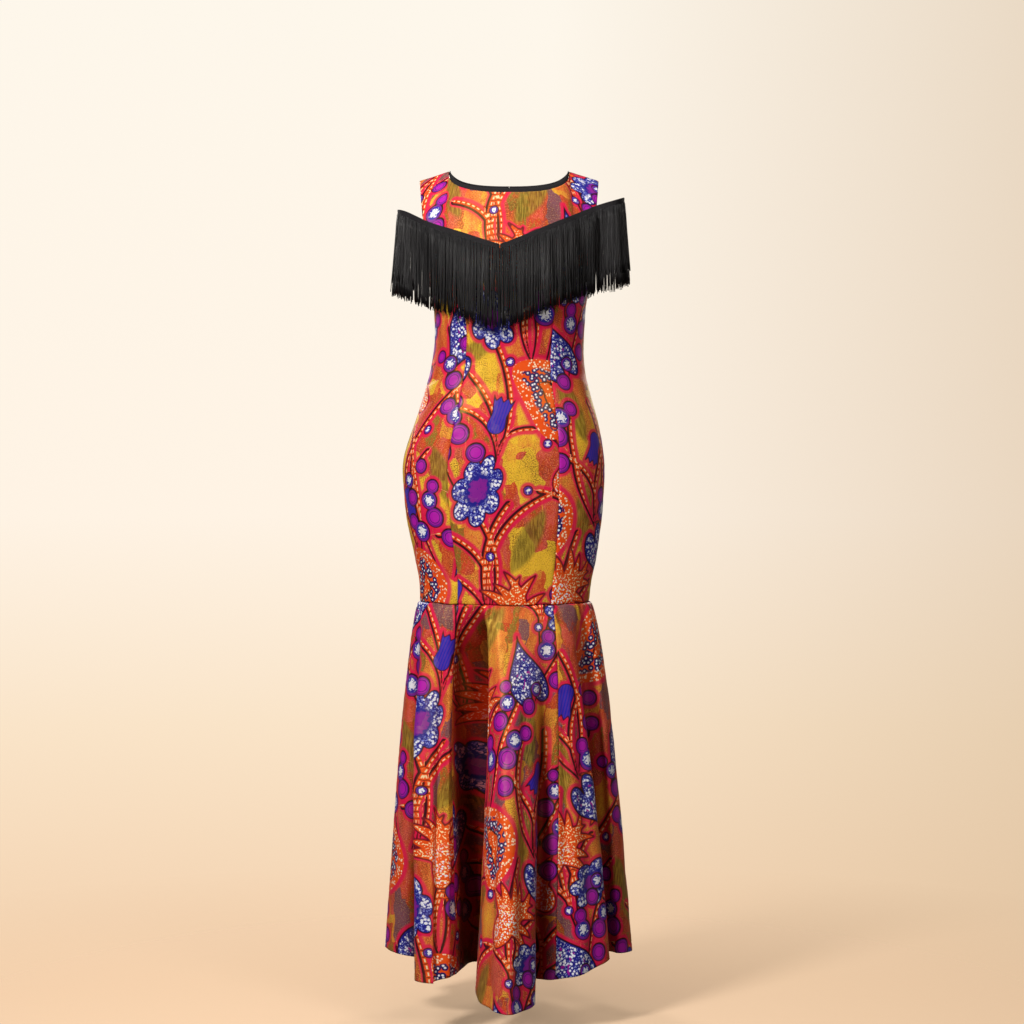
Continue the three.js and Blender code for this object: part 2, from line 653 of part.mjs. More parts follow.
// ---------- Solids ----------
// The triangles are turned over if they enclose a negative volume.
function facingOut(vertices, triangles) {
  const volume = triangles.reduce((sum, [a, b, c]) => {
    return sum + vertices[a].dot(vertices[b].clone().cross(vertices[c]));
  }, 0);
  const turned = volume < 0 ? triangles.map(([a, b, c]) => [a, c, b]) : triangles;
  return closedGeometry(vertices, turned);
}

function solidOf(geometry) {
  const bare = geometry.clone();
  bare.deleteAttribute("normal");
  bare.deleteAttribute("uv");
  const merged = mergeVertices(bare, 1e-4);
  const mesh = new wasm.Mesh({
    numProp: 3,
    vertProperties: new Float32Array(merged.attributes.position.array),
    triVerts: new Uint32Array(merged.index.array),
  });
  return new wasm.Manifold(mesh);
}

function geometryOf(solid) {
  const mesh = solid.getMesh();
  const geometry = new THREE.BufferGeometry();
  const stride = mesh.numProp;
  const count = mesh.vertProperties.length / stride;
  const values = new Float32Array(count * 3);
  for (let i = 0; i < count; i += 1) {
    values.set(mesh.vertProperties.subarray(i * stride, i * stride + 3), i * 3);
  }
  geometry.setAttribute("position", new THREE.BufferAttribute(values, 3));
  geometry.setIndex(Array.from(mesh.triVerts));
  geometry.computeVertexNormals();
  return geometry;
}

// ---------- The zip's slider and pull ----------
// Both are drawn in the plane of the back, with x across it, y up it and z out of it.
function sliderGeometry() {
  const outline = new THREE.Shape();
  const half = ZIP.width / 2;
  outline.moveTo(-half, ZIP.height / 2);
  outline.lineTo(-half * ZIP.waist, -ZIP.height / 2);
  outline.lineTo(half * ZIP.waist, -ZIP.height / 2);
  outline.lineTo(half, ZIP.height / 2);
  const body = new THREE.ExtrudeGeometry(outline, { depth: ZIP.depth, bevelEnabled: false });
  body.translate(0, 0, -BAIL.lift - ZIP.depth);
  const ring = new THREE.Shape();
  ring.absarc(0, 0, BAIL.outer, 0, 2 * HALF_TURN, false);
  ring.holes.push(new THREE.Path().absarc(0, 0, BAIL.inner, 0, 2 * HALF_TURN, true));
  const bail = new THREE.ExtrudeGeometry(ring, {
    depth: BAIL.width,
    bevelEnabled: false,
    curveSegments: BAIL.segments,
  });
  bail.translate(0, 0, -BAIL.width / 2).rotateY(QUARTER_TURN);
  return geometryOf(solidOf(body).add(solidOf(bail)));
}

function pullGeometry() {
  const eyeWide = PULL.eye_half + PULL.rail;
  const roundY = -PULL.length + PULL.wide;
  const outline = [new THREE.Vector2(eyeWide, -PULL.eye), new THREE.Vector2(eyeWide, PULL.bar)];
  outline.push(new THREE.Vector2(-eyeWide, PULL.bar), new THREE.Vector2(-eyeWide, -PULL.eye));
  for (let i = 0; i <= PULL.segments; i += 1) {
    const angle = HALF_TURN * (1 + i / PULL.segments);
    const [x, y] = [PULL.wide * Math.cos(angle), PULL.wide * Math.sin(angle)];
    outline.push(new THREE.Vector2(x, roundY + y));
  }
  const shape = new THREE.Shape(outline);
  const eyeEnd = -PULL.eye + PULL.bar;
  const corners = [
    [-PULL.eye_half, -PULL.bar],
    [PULL.eye_half, -PULL.bar],
    [PULL.eye_half, eyeEnd],
    [-PULL.eye_half, eyeEnd],
  ];
  shape.holes.push(new THREE.Path(corners.map(([x, y]) => new THREE.Vector2(x, y))));
  const pull = new THREE.ExtrudeGeometry(shape, { depth: PULL.thickness, bevelEnabled: false });
  return pull.translate(0, 0, -PULL.thickness / 2);
}

// The group that carries the zip's pieces: it lies on the centre back, on the slope of the cloth.
function zipGroup() {
  const level = 2 - ZIP.down_level;
  const seat = bodyPoint("back", 0, level);
  const normal = bodyNormal("back", 0, level);
  const group = new THREE.Group();
  const right = new THREE.Vector3(-1, 0, 0);
  const up = normal.clone().cross(right).normalize();
  group.applyMatrix4(new THREE.Matrix4().makeBasis(right, up, normal));
  group.position.copy(seat).addScaledVector(normal, ZIP.clear + ZIP.depth + BAIL.lift);
  return group;
}

// ---------- Materials ----------
const finish = (color, roughness, metalness = 0) =>
  new THREE.MeshStandardMaterial({ color, roughness, metalness });
const printedCotton = () => finish(0xb8683a, 0.62);
const blackCotton = () => finish(0x1b1a1c, 0.85);
const blackYarn = () => finish(0x101012, 0.55);
const blackMetal = () => finish(0x1c1c1e, 0.4, 0.6);

function named(name, geometry, material) {
  const mesh = new THREE.Mesh(geometry, material);
  mesh.name = name;
  return mesh;
}

// ---------- The dress ----------
const dress = new THREE.Group();
for (const [name, panel] of Object.entries(panels)) dress.add(named(name, panel(), printedCotton()));

const flounces = {
  flounce_front: [FLOUNCE_COLUMNS.front, -SIDE_SEAM_DEG, SIDE_SEAM_DEG],
  flounce_back_right: [FLOUNCE_COLUMNS.back, SIDE_SEAM_DEG, FULL_DEG],
  flounce_back_left: [FLOUNCE_COLUMNS.back, FULL_DEG, 3 * SIDE_SEAM_DEG],
};
for (const [name, cut] of Object.entries(flounces)) {
  dress.add(named(name, flouncePanel(...cut), printedCotton()));
}

const facings = {
  neck_facing_front: ["front", -NECK_S, NECK_S],
  neck_facing_back_right: ["back", NECK_S, NECK_BAND.zip_s],
  neck_facing_back_left: ["back", -NECK_BAND.zip_s, -NECK_S],
};
for (const [name, cut] of Object.entries(facings)) {
  dress.add(named(name, facingGeometry(...cut), blackCotton()));
}

dress.add(named("fringe_left", fringeGeometry(-1), blackYarn()));
dress.add(named("fringe_right", fringeGeometry(1), blackYarn()));

const zip = zipGroup();
zip.add(named("zip_slider", sliderGeometry(), blackMetal()), named("zip_pull", pullGeometry(), blackMetal()));
dress.add(zip);

export default dress;
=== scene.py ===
"""The looks of the ankara maxi dress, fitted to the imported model.

The garment's surfaces are worked out in millimetres, in the model's own frame: +Z is up, -Y is the
front. Each mesh turns into metres when it is made.
"""
import json
import math

import bmesh
import bpy
import numpy as np
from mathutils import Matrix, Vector
from mathutils.bvhtree import BVHTree

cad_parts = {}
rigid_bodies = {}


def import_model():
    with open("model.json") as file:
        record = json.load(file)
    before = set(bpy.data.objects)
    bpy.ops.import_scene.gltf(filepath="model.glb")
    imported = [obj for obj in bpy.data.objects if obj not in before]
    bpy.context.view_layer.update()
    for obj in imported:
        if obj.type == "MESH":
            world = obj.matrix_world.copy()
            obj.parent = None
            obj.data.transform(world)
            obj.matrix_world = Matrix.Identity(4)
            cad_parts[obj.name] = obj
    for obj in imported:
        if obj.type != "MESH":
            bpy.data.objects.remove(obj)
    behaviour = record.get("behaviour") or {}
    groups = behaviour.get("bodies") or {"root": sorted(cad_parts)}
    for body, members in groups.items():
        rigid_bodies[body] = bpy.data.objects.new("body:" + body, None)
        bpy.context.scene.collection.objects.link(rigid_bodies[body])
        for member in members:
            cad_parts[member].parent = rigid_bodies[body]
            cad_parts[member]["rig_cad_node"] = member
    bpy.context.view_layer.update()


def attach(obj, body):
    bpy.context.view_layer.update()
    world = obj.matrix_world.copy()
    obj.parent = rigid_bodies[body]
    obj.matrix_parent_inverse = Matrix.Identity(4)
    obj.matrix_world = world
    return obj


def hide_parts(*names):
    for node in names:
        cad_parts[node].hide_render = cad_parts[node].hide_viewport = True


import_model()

METRE = 0.001  # metres in a millimetre
ROOT = "dress"  # the body that every piece of cloth rides on
SEED = 7


def table(columns, *rows):
    """Rows with named columns."""
    names = columns.split()
    return [dict(zip(names, row)) for row in rows]


# ---------- The garment's sizes, as in the model's source ----------
UNDERARM_Z = -205
KNEE_SEAM_Z = -750
HEM_Z = -1372
SECTION_POWER = 2 / 2.3

BODY = table(
    "z centre_x half_width front back",
    (-750, -8, 148, 106, 102),
    (-714, -6.5, 150.5, 107, 105),
    (-679, -6, 157.5, 109, 109),
    (-609, -8.5, 170, 113, 119),
    (-539, -9.5, 176, 115, 127),
    (-504, -9, 175.5, 115, 127),
    (-469, -7, 168.5, 113, 122),
    (-434, -4.5, 158.5, 110, 113),
    (-399, -3.5, 148, 106, 102),
    (-364, -3, 138.5, 103, 92),
    (-329, -1.5, 132.5, 101, 86),
    (-290, 0.5, 130.5, 104, 86),
    (-245, 1, 132.5, 110, 91),
    (-205, 0, 138, 112, 95),
)
CHEST = {"swell": 15, "at_x": 78, "at_z": -212, "spread_x": 44, "spread_z": 52}
NECK_S = 2 / 3
NECK_POWER = 0.74
NECK_SPACING = 1.2
NECK_POINT = {"x": 106, "y": 12, "z": 2}
SHOULDER_TIP = {"x": 157, "y": 8, "z": -15}
FRONT_NECK, BACK_NECK = table(
    "y z side_y side_z chest_y armhole_y upper_y",
    (-76, -46, -40, -54, -112, -66, 20),
    (72, -24, 44, -44, 96, 66, -12),
)
NECKLINE = {"front": FRONT_NECK, "back": BACK_NECK}
SHOULDER_RISE = {"y": 5, "z": 2.5}
PRINCESS_S = {"front": 0.33, "back": 0.3}
PRINCESS_UNDERARM_S = {"front": 0.4, "back": 0.42}
PRINCESS_TOP = 0.5

FLUTES = table(
    "deg x y drop grow",
    (-90, -216, -4, -19, 1),
    (-81, -193, -62, -17, 1),
    (-72, -139, -88, -8, 0.9),
    (-63, -150, -152, 8, 0.95),
    (-48, -126, -190, 9, 1),
    (-31, -88, -146, 2, 0.85),
    (-18, -50, -66, 0, 0.7),
    (-8, -52, -204, 32, 0.8),
    (2, -4, -286, 40, 1),
    (12, 42, -226, 36, 1.2),
    (21, 37, -146, 13, 1.4),
    (29, 74, -158, 9, 1.2),
    (37, 122, -148, 3, 1),
    (46, 172, -96, -14, 0.9),
    (56, 148, -14, -12, 0.7),
    (70, 192, -50, -15, 0.9),
    (88, 214, -2, -12, 1),
    (104, 178, 60, -6, 0.9),
    (119, 184, 122, 2, 1),
    (136, 118, 118, 2, 0.8),
    (152, 98, 180, 8, 1),
    (167, 38, 136, 6, 0.9),
    (181, -4, 194, 12, 1.1),
    (195, -46, 138, 6, 0.9),
    (210, -102, 182, 8, 1),
    (226, -122, 118, 2, 0.8),
    (242, -186, 118, -2, 1),
    (257, -178, 58, -10, 0.9),
)
FLARE = {"half_width": 213, "front": 170, "back": 150, "spread": 0.6}

# Each side of the V of fringe: its point, where it leaves the dress at the left and right, its bend.
FRONT_V, BACK_V = table(
    "point_x point_z left_x left_z right_x right_z bend",
    (-16, -139, -150, -90, 148, -66, 1.1),
    (0, -128, -150, -84, 148, -62, 1.2),
)
TAPE_V = {"front": FRONT_V, "back": BACK_V}
# Where the fringe goes round each arm, in x, y and z.
ARM_ROUND = {
    "left": [(-176, -47, -76), (-193.5, -2, -67), (-177, 44, -72)],
    "right": [(184, -45, -55), (200, -2, -46), (185, 44, -54)],
}
ARM_CENTRE_X = 150


# ---------- Curves and surfaces ----------
def mix(a, b, k):
    return a + (b - a) * k


def smooth(low, high, at):
    k = np.clip((at - low) / (high - low), 0, 1)
    return k * k * (3 - 2 * k)


def power(value, exponent):
    return np.sign(value) * np.abs(value) ** exponent


def turned(x, y, turn):
    """Places as seen along axes that are turned by so many degrees."""
    a = math.radians(turn)
    return x * math.cos(a) + y * math.sin(a), y * math.cos(a) - x * math.sin(a)


def unit(vectors):
    return vectors / np.maximum(np.linalg.norm(vectors, axis=-1, keepdims=True), 1e-9)


def column_at(rows, by, column, at, period=0.0):
    """A column of a table at each place, on a smooth curve through its rows."""
    x = np.array([row[by] for row in rows], float)
    y = np.array([row[column] for row in rows], float)
    if period:
        x = np.concatenate([x[-2:] - period, x, x[:2] + period])
        y = np.concatenate([y[-2:], y, y[:2]])
    slope = np.empty_like(y)
    slope[1:-1] = (y[2:] - y[:-2]) / (x[2:] - x[:-2])
    slope[0] = (y[1] - y[0]) / (x[1] - x[0])
    slope[-1] = (y[-1] - y[-2]) / (x[-1] - x[-2])
    i = np.clip(np.searchsorted(x, at, side="left") - 1, 0, len(x) - 2)
    span = x[i + 1] - x[i]
    k = (at - x[i]) / span
    k2, k3 = k * k, k * k * k
    return (
        y[i] * (2 * k3 - 3 * k2 + 1)
        + slope[i] * span * (k3 - 2 * k2 + k)
        + y[i + 1] * (3 * k2 - 2 * k3)
        + slope[i + 1] * span * (k3 - k2)
    )


def tube_point(half, s, z):
    """The fitted body below the underarm, with the bust's swell in front."""
    angle = s * math.pi / 2
    depth = column_at(BODY, "z", half, z)
    x = column_at(BODY, "z", "centre_x", z)
    x = x + column_at(BODY, "z", "half_width", z) * power(np.sin(angle), SECTION_POWER)
    across = np.maximum(0, np.cos(angle)) ** SECTION_POWER
    swell = 0
    if half == "front":
        lift = ((z - CHEST["at_z"]) / CHEST["spread_z"]) ** 2
        for centre in (-CHEST["at_x"], CHEST["at_x"]):
            swell = swell + np.exp(-0.5 * (((x - centre) / CHEST["spread_x"]) ** 2 + lift))
        swell = swell * CHEST["swell"] * across
    y = (depth * across + swell) * (-1 if half == "front" else 1)
    return np.stack([x, y, z + 0 * x], -1)


def top_point(half, s):
    """The upper edge: the neckline in the middle and the shoulder seam beyond it."""
    share, side = np.abs(s), np.sign(s)
    k = (share - NECK_S) / (1 - NECK_S)
    seam = [mix(NECK_POINT[c], SHOULDER_TIP[c], k) for c in "xyz"]
    angle = np.clip(share / NECK_S, 0, 1) ** NECK_SPACING * math.pi / 2
    across = np.maximum(0, np.cos(angle)) ** NECK_POWER
    shape = NECKLINE[half]
    neck = [
        NECK_POINT["x"] * np.sin(angle) ** NECK_POWER,
        mix(NECK_POINT["y"], shape["y"], across),
        mix(NECK_POINT["z"], shape["z"], across),
    ]
    x, y, z = (np.where(share >= NECK_S, a, b) for a, b in zip(seam, neck))
    return np.stack([side * x, y, z], -1)


def yoke_point(half, s, v):
    """The chest and upper back: v is 0 at the underarm and 1 at the upper edge."""
    shape = NECKLINE[half]
    low = tube_point(half, s, UNDERARM_Z + 0 * s)
    top = top_point(half, s)
    side = (top[..., 0] / SHOULDER_TIP["x"]) ** 2
    high_y, high_z = (mix(shape[c], shape[f"side_{c}"], side) for c in "yz")
    high = np.stack([top[..., 0], high_y, high_z], -1)
    edge = s**4
    chest_y = mix(shape["chest_y"], shape["armhole_y"], s * s)
    rise = high[..., 2] - low[..., 2]
    first_x = mix(low[..., 0], high[..., 0], mix(0.2, 0, edge))
    first_y = mix(low[..., 1], chest_y, mix(0.35, 1.15, edge))
    first = np.stack([first_x, first_y, low[..., 2] + rise * mix(0.33, 0.12, edge)], -1)
    second_x = mix(low[..., 0], high[..., 0], mix(0.9, 0.65, edge))
    second = np.stack([second_x, high[..., 1] - shape["upper_y"], high[..., 2] - rise * 0.28], -1)
    t = v[..., None]
    u = 1 - t
    point = u**3 * low + 3 * u * u * t * first + 3 * u * t * t * second + t**3 * high
    point[..., 1] += (top[..., 1] - high[..., 1]) * v ** SHOULDER_RISE["y"]
    point[..., 2] += (top[..., 2] - high[..., 2]) * v ** SHOULDER_RISE["z"]
    return point


def body_point(half, s, level):
    """s runs from -1 at the left side seam to 1 at the right; level is 0 at the knee, 1 at the
    underarm and 2 at the neck and shoulders."""
    s, level = np.broadcast_arrays(np.asarray(s, float), np.asarray(level, float))
    tube = tube_point(half, s, mix(KNEE_SEAM_Z, UNDERARM_Z, np.minimum(level, 1)))
    yoke = yoke_point(half, s, np.maximum(level - 1, 0))
    return np.where((level > 1)[..., None], yoke, tube)


def flounce_point(deg, fall):
    """deg runs round the dress, 0 at the centre front; fall is 0 at the knee seam and 1 at the hem."""
    deg, fall = np.broadcast_arrays(np.asarray(deg, float), np.asarray(fall, float))
    front = deg <= 90
    s = np.where(front, deg / 90, 2 - deg / 90)
    angle = s * math.pi / 2
    knee = KNEE_SEAM_Z + 0 * deg
    top = np.where(front[..., None], tube_point("front", s, knee), tube_point("back", s, knee))
    flare_x = FLARE["half_width"] * power(np.sin(angle), SECTION_POWER)
    across = np.maximum(0, np.cos(angle)) ** SECTION_POWER
    flare_y = np.where(front, -FLARE["front"], FLARE["back"]) * across
    hem = {c: column_at(FLUTES, "deg", c, deg, 360) for c in ("x", "y", "drop", "grow")}
    spread = fall ** FLARE["spread"]
    relief = fall ** hem["grow"]
    x = top[..., 0] + (flare_x - top[..., 0]) * spread + (hem["x"] - flare_x) * relief
    y = top[..., 1] + (flare_y - top[..., 1]) * spread + (hem["y"] - flare_y) * relief
    z = KNEE_SEAM_Z + (HEM_Z - KNEE_SEAM_Z) * fall - hem["drop"] * relief
    return np.stack([x, y, z], -1)


def grid_normals(points):
    """Outward normals of a grid whose rows run up and whose columns run right, seen from outside."""
    return unit(np.cross(np.gradient(points, axis=1), np.gradient(points, axis=0)))


def area_of(points):
    """The area of a grid of points, in square metres."""
    across, up = np.diff(points, axis=1)[:-1], np.diff(points, axis=0)[:, :-1]
    return float(np.linalg.norm(np.cross(across, up), axis=-1).sum()) * METRE * METRE


def along(points, axis):
    """The distance travelled along a line of points, or from a grid's first row or column."""
    steps = np.linalg.norm(np.diff(points, axis=axis), axis=-1)
    start = np.zeros_like(np.take(steps, [0], axis=axis))
    return np.concatenate([start, np.cumsum(steps, axis=axis)], axis=axis)


# ---------- The print: one repeat of a botanical wax print ----------
# The chart is in millimetres on the flat cloth. Places are the middles of the motifs, and turn is in
# degrees from upright.
REPEAT_W, REPEAT_H, CELL = 480, 600, 1.5
FAR = 60.0  # the distance that stands for no motif near

LEAVES = table(
    "x y turn long wide lean",
    (128, 486, 30, 136, 84, 0.4),
    (376, 160, 152, 128, 78, -0.45),
    (470, 396, -34, 108, 66, 0.35),
)
PODS = table(
    "x y turn long wide bend",
    (326, 462, -34, 150, 104, 0.16),
    (62, 66, 206, 134, 96, -0.18),
)
FLOWERS = table(
    "x y turn long wide",
    (214, 300, 22, 116, 76),
    (450, 274, 66, 98, 66),
    (226, 596, -24, 102, 68),
)
BUDS = table(
    "x y turn long wide",
    (164, 116, 10, 72, 34),
    (246, 428, -164, 66, 32),
    (60, 214, 166, 64, 30),
    (440, 584, 24, 62, 30),
)
PLUMES = table(
    "x y turn long",
    (284, 62, -16, 100),
    (370, 320, 42, 100),
    (44, 398, -52, 92),
)
OLIVES = table(
    "x y turn long wide",
    (146, 250, -24, 130, 40),
    (298, 214, 30, 124, 38),
    (404, 54, -14, 124, 40),
    (16, 300, 18, 118, 38),
    (190, 536, 64, 112, 34),
    (412, 470, 8, 124, 40),
)
# A cluster of berries climbs its stem from the foot, on both sides.
CLUSTERS = table(
    "x y turn count size",
    (176, 352, 24, 10, 20.5),
    (330, 572, -20, 11, 21),
    (112, 146, 14, 9, 19),
    (420, 172, -30, 8, 18),
    (8, 452, -12, 10, 20),
)
# In shares of a berry's size: how far out, low and small every third one is, and the first one's height
# and the step to the next. Each one is smaller than the last by the share shrink.
CLUSTER = {"out": 1.75, "low": 0.5, "small": 0.84, "first": 0.4, "step": 0.8, "shrink": 0.04}
# Its stem starts below it, by so many millimetres, and ends a little past the last berry.
CLUSTER_STEM = {"step": 0.82, "past": 0.6, "lean": 14, "down": 60, "bow": 8, "wide": 4.6}
DOTS = [
    (232, 188), (332, 380), (262, 520), (392, 236), (96, 340),
    (200, 40), (464, 500), (20, 160), (300, 300),
]
DOT_SIZE = 8
# A spray is a bundle of stems that leave one foot. Each stem has the place where it ends, and how far
# it bows.
SPRAYS = table(
    "foot wide stems",
    ((232, 88), 5.8, [(210, 262, -22), (266, 276, 26), (158, 226, -30), (344, 296, 48)]),
    ((232, 88), 5.8, [(122, 158, -22)]),
    ((74, 112), 5.6, [(110, 300, 30), (52, 344, -26), (150, 430, 54), (-14, 250, -22)]),
    ((402, 206), 5.8, [(338, 396, -36), (404, 438, 16), (458, 352, 26), (320, 300, -26)]),
    ((246, 350), 5.6, [(236, 556, -24), (304, 404, 20), (160, 448, -26), (196, 500, -16)]),
    ((446, 452), 5.8, [(394, 640, 26), (450, 666, -20), (508, 622, 32), (366, 570, -26)]),
    ((300, 520), 5.6, [(292, 640, 16), (372, 716, 44), (252, 700, -26)]),
)
LOBES = 7  # of a flower
FOOT_WIDTH, FOOT_LENGTH = 0.14, 120  # a stem grows from this share of its width over this length
PETALS = (-62, -44, -29, -14, 0, 15, 31, 50, 70)  # how far each petal of a plume leans, in degrees


def wrapped(x, y, motif_x, motif_y, turn=0.0):
    """The cloth's places seen from a motif's middle, through the repeat and turned upright."""
    dx = (x - motif_x + REPEAT_W / 2) % REPEAT_W - REPEAT_W / 2
    dy = (y - motif_y + REPEAT_H / 2) % REPEAT_H - REPEAT_H / 2
    return turned(dx, dy, turn)


def from_segment(px, py, start, end):
    """The distance from a straight piece of line, and how far along it the nearest place is."""
    (ax, ay), (ex, ey) = start, end - start
    k = np.clip(((px - ax) * ex + (py - ay) * ey) / (ex * ex + ey * ey + 1e-12), 0, 1)
    return np.hypot(px - ax - ex * k, py - ay - ey * k), k


def outline_distance(px, py, outline):
    """The signed distance from a closed outline, negative inside."""
    least = np.full(px.shape, 1e9)
    inside = np.zeros(px.shape, bool)
    for start, end in zip(outline, np.roll(outline, -1, axis=0)):
        least = np.minimum(least, from_segment(px, py, start, end)[0])
        (ax, ay), (bx, by) = start, end
        crosses = (ay > py) != (by > py)
        with np.errstate(divide="ignore", invalid="ignore"):
            inside ^= crosses & (px < (bx - ax) * (py - ay) / (by - ay) + ax)
    return np.where(inside, -least, least)


def heart_outline(row):
    """A leaf like a heart, whose tip bends to one side by its lean."""
    t = np.linspace(0, 2 * math.pi, 56, endpoint=False)
    x = np.sin(t) ** 3
    y = (13 * np.cos(t) - 5 * np.cos(2 * t) - 2 * np.cos(3 * t) - np.cos(4 * t)) / 16
    y = np.where(y < 0, -np.abs(y) ** 1.15, y)
    x, y = x * row["wide"] / 2, y * row["long"] / 1.85 + row["long"] * 0.12
    return np.stack([x + row["lean"] * (y / row["long"]) ** 2 * row["wide"], y], -1)


def oval_outline(row, scallops=0, depth=0.0, taper=0.0):
    """An oval that may have lobes, a narrower upper end and a bend."""
    t = np.linspace(0, 2 * math.pi, 84, endpoint=False)
    grow = 1 + depth * (np.abs(np.cos(scallops * t / 2)) ** 0.7 - 0.6)
    x, y = np.sin(t) * grow, np.cos(t) * grow
    bent = row.get("bend", 0) * row["long"] * (0.5 - y * y)
    return np.stack([x * row["wide"] / 2 * (1 - taper * y) + bent, y * row["long"] / 2], -1)


def bud_outline(row):
    """A tulip bud: a dome above and teeth below."""
    half, end = row["wide"] / 2, row["long"] / 2
    t = np.linspace(math.pi, 0, 14)
    dome = np.stack([half * np.cos(t), end - half + half * np.sin(t)], -1)
    teeth = 7
    hem = [
        (half * (1.18 - 2.36 * i / (teeth - 1)), -end + (row["wide"] * 0.3 if i % 2 else 0))
        for i in range(teeth)
    ]
    return np.concatenate([dome, [(half * 0.8, 0)], hem, [(-half * 0.8, 0)]])


def lens_outline(length, width, bow=0.0):
    """A petal that is pointed at both ends and bows to one side."""
    t = np.linspace(-1, 1, 18)
    edge = (1 - t * t) ** 0.85 * width / 2
    mid = bow * (1 - t * t)
    right = np.stack([mid + edge, t * length / 2], -1)
    left = np.stack([mid - edge, t * length / 2], -1)[::-1]
    return np.concatenate([right, left[1:-1]])


class Repeat:
    """The print's fields over one repeat: distances to the motifs, and places inside them."""

    # d is the distance to a motif, negative inside it. The others are places in a motif: r is the share
    # of its radius, s the way from its foot, a and x and y the place round or across it.
    NAMES = (
        "leaf_d", "pod_d", "flower_d", "flower_r", "flower_a", "bud_d", "bud_x", "plume_d", "plume_s",
        "olive_d", "berry_d", "berry_r", "berry_kind", "berry_y", "stem_d", "stem_s", "stem_x",
    )

    def __init__(self):
        self.rows, self.columns = int(REPEAT_H / CELL), int(REPEAT_W / CELL)
        y, x = np.mgrid[0 : self.rows, 0 : self.columns] * CELL
        self.x, self.y = x, y
        starts = {name: FAR if name.endswith(("_d", "stem_x")) else 0.0 for name in self.NAMES}
        self.fields = {name: np.full(x.shape, start) for name, start in starts.items()}
        for row in LEAVES:
            self.add("leaf", row, heart_outline(row))
        for row in PODS:
            self.add("pod", row, oval_outline(row, taper=0.16))
        for row in FLOWERS:
            lobed = oval_outline(row, scallops=LOBES, depth=0.3, taper=0.12)
            self.add("flower", row, lobed, self.flower_places)
        for row in BUDS:
            self.add("bud", row, bud_outline(row), lambda row, px, py: {"bud_x": px})
        for row in OLIVES:
            self.add("olive", row, lens_outline(row["long"], row["wide"]))
        for row in PLUMES:
            self.add_plume(row)
        for row in CLUSTERS:
            self.add_cluster(row)
        for x, y in DOTS:
            self.add_berry(x, y, DOT_SIZE, 1)
        for row in SPRAYS:
            for x, y, bow in row["stems"]:
                self.add_stem(row["foot"], (x, y), bow, row["wide"])

    def keep(self, kind, near, distance, places):
        """Writes a motif into the fields where it is nearer than the others of its kind."""
        field = self.fields[f"{kind}_d"]
        better = np.zeros(field.shape, bool)
        better[near] = distance < field[near]
        chosen = better[near]
        field[better] = distance[chosen]
        for name, values in places.items():
            self.fields[name][better] = values[chosen]

    def add(self, kind, row, outline, places=None):
        px, py = wrapped(self.x, self.y, row["x"], row["y"], -row["turn"])
        near = np.hypot(px, py) < np.abs(outline).max() * 1.5 + FAR / 4
        px, py = px[near], py[near]
        found = places(row, px, py) if places else {}
        self.keep(kind, near, outline_distance(px, py, outline), found)

    @staticmethod
    def flower_places(row, px, py):
        ratio = np.hypot(px / row["wide"], py / row["long"]) * 2
        return {"flower_r": ratio, "flower_a": np.sin(LOBES * np.arctan2(px, py) + 1.6)}

    def add_plume(self, row):
        """A fan of petals that grow from a round cup."""

        def places(row, px, py):
            return {"plume_s": np.hypot(px, py)}

        for i, lean in enumerate(PETALS):
            length = row["long"] * (0.7 + 0.32 * math.cos(math.radians(lean * 1.3)) + 0.05 * (-1) ** i)
            petal = lens_outline(length, row["long"] * 0.17, bow=math.copysign(length * 0.16, -lean))
            petal[:, 1] += length / 2 - 2
            self.add("plume", row, np.stack(turned(petal[:, 0], petal[:, 1], lean), -1), places)
        cup = oval_outline({"wide": row["long"] * 0.46, "long": row["long"] * 0.62})
        self.add("plume", row, cup, places)

    def add_cluster(self, row):
        """Berries in turn on both sides of a stem, every third one smaller and further out."""
        a, size = math.radians(row["turn"]), row["size"]
        for i in range(row["count"]):
            outer = (CLUSTER["out"], CLUSTER["low"], CLUSTER["small"])
            out, low, small = outer if i % 3 == 0 else (1, 0, 1)
            up = size * (CLUSTER["first"] + CLUSTER["step"] * i - low)
            x, y = turned((-1) ** i * size * out, up, -row["turn"])
            radius = size * (1 - CLUSTER["shrink"] * i) * small
            self.add_berry(row["x"] + x, row["y"] + y, radius, float(i % 3 == 1))
        tip = size * (CLUSTER_STEM["step"] * row["count"] + CLUSTER_STEM["past"])
        foot = (row["x"] + CLUSTER_STEM["lean"] * math.sin(a), row["y"] - CLUSTER_STEM["down"])
        head = (row["x"] - tip * math.sin(a), row["y"] + tip * math.cos(a))
        self.add_stem(foot, head, CLUSTER_STEM["bow"], CLUSTER_STEM["wide"])

    def add_berry(self, x, y, radius, kind):
        px, py = wrapped(self.x, self.y, x, y)
        r = np.hypot(px, py)
        near = r < radius + FAR / 3
        r, py, px = r[near], py[near], px[near]
        places = {
            "berry_r": r / radius,
            "berry_kind": np.full(r.shape, float(kind)),
            "berry_y": (px * 0.6 + py * 0.8) / radius,
        }
        self.keep("berry", near, r - radius, places)

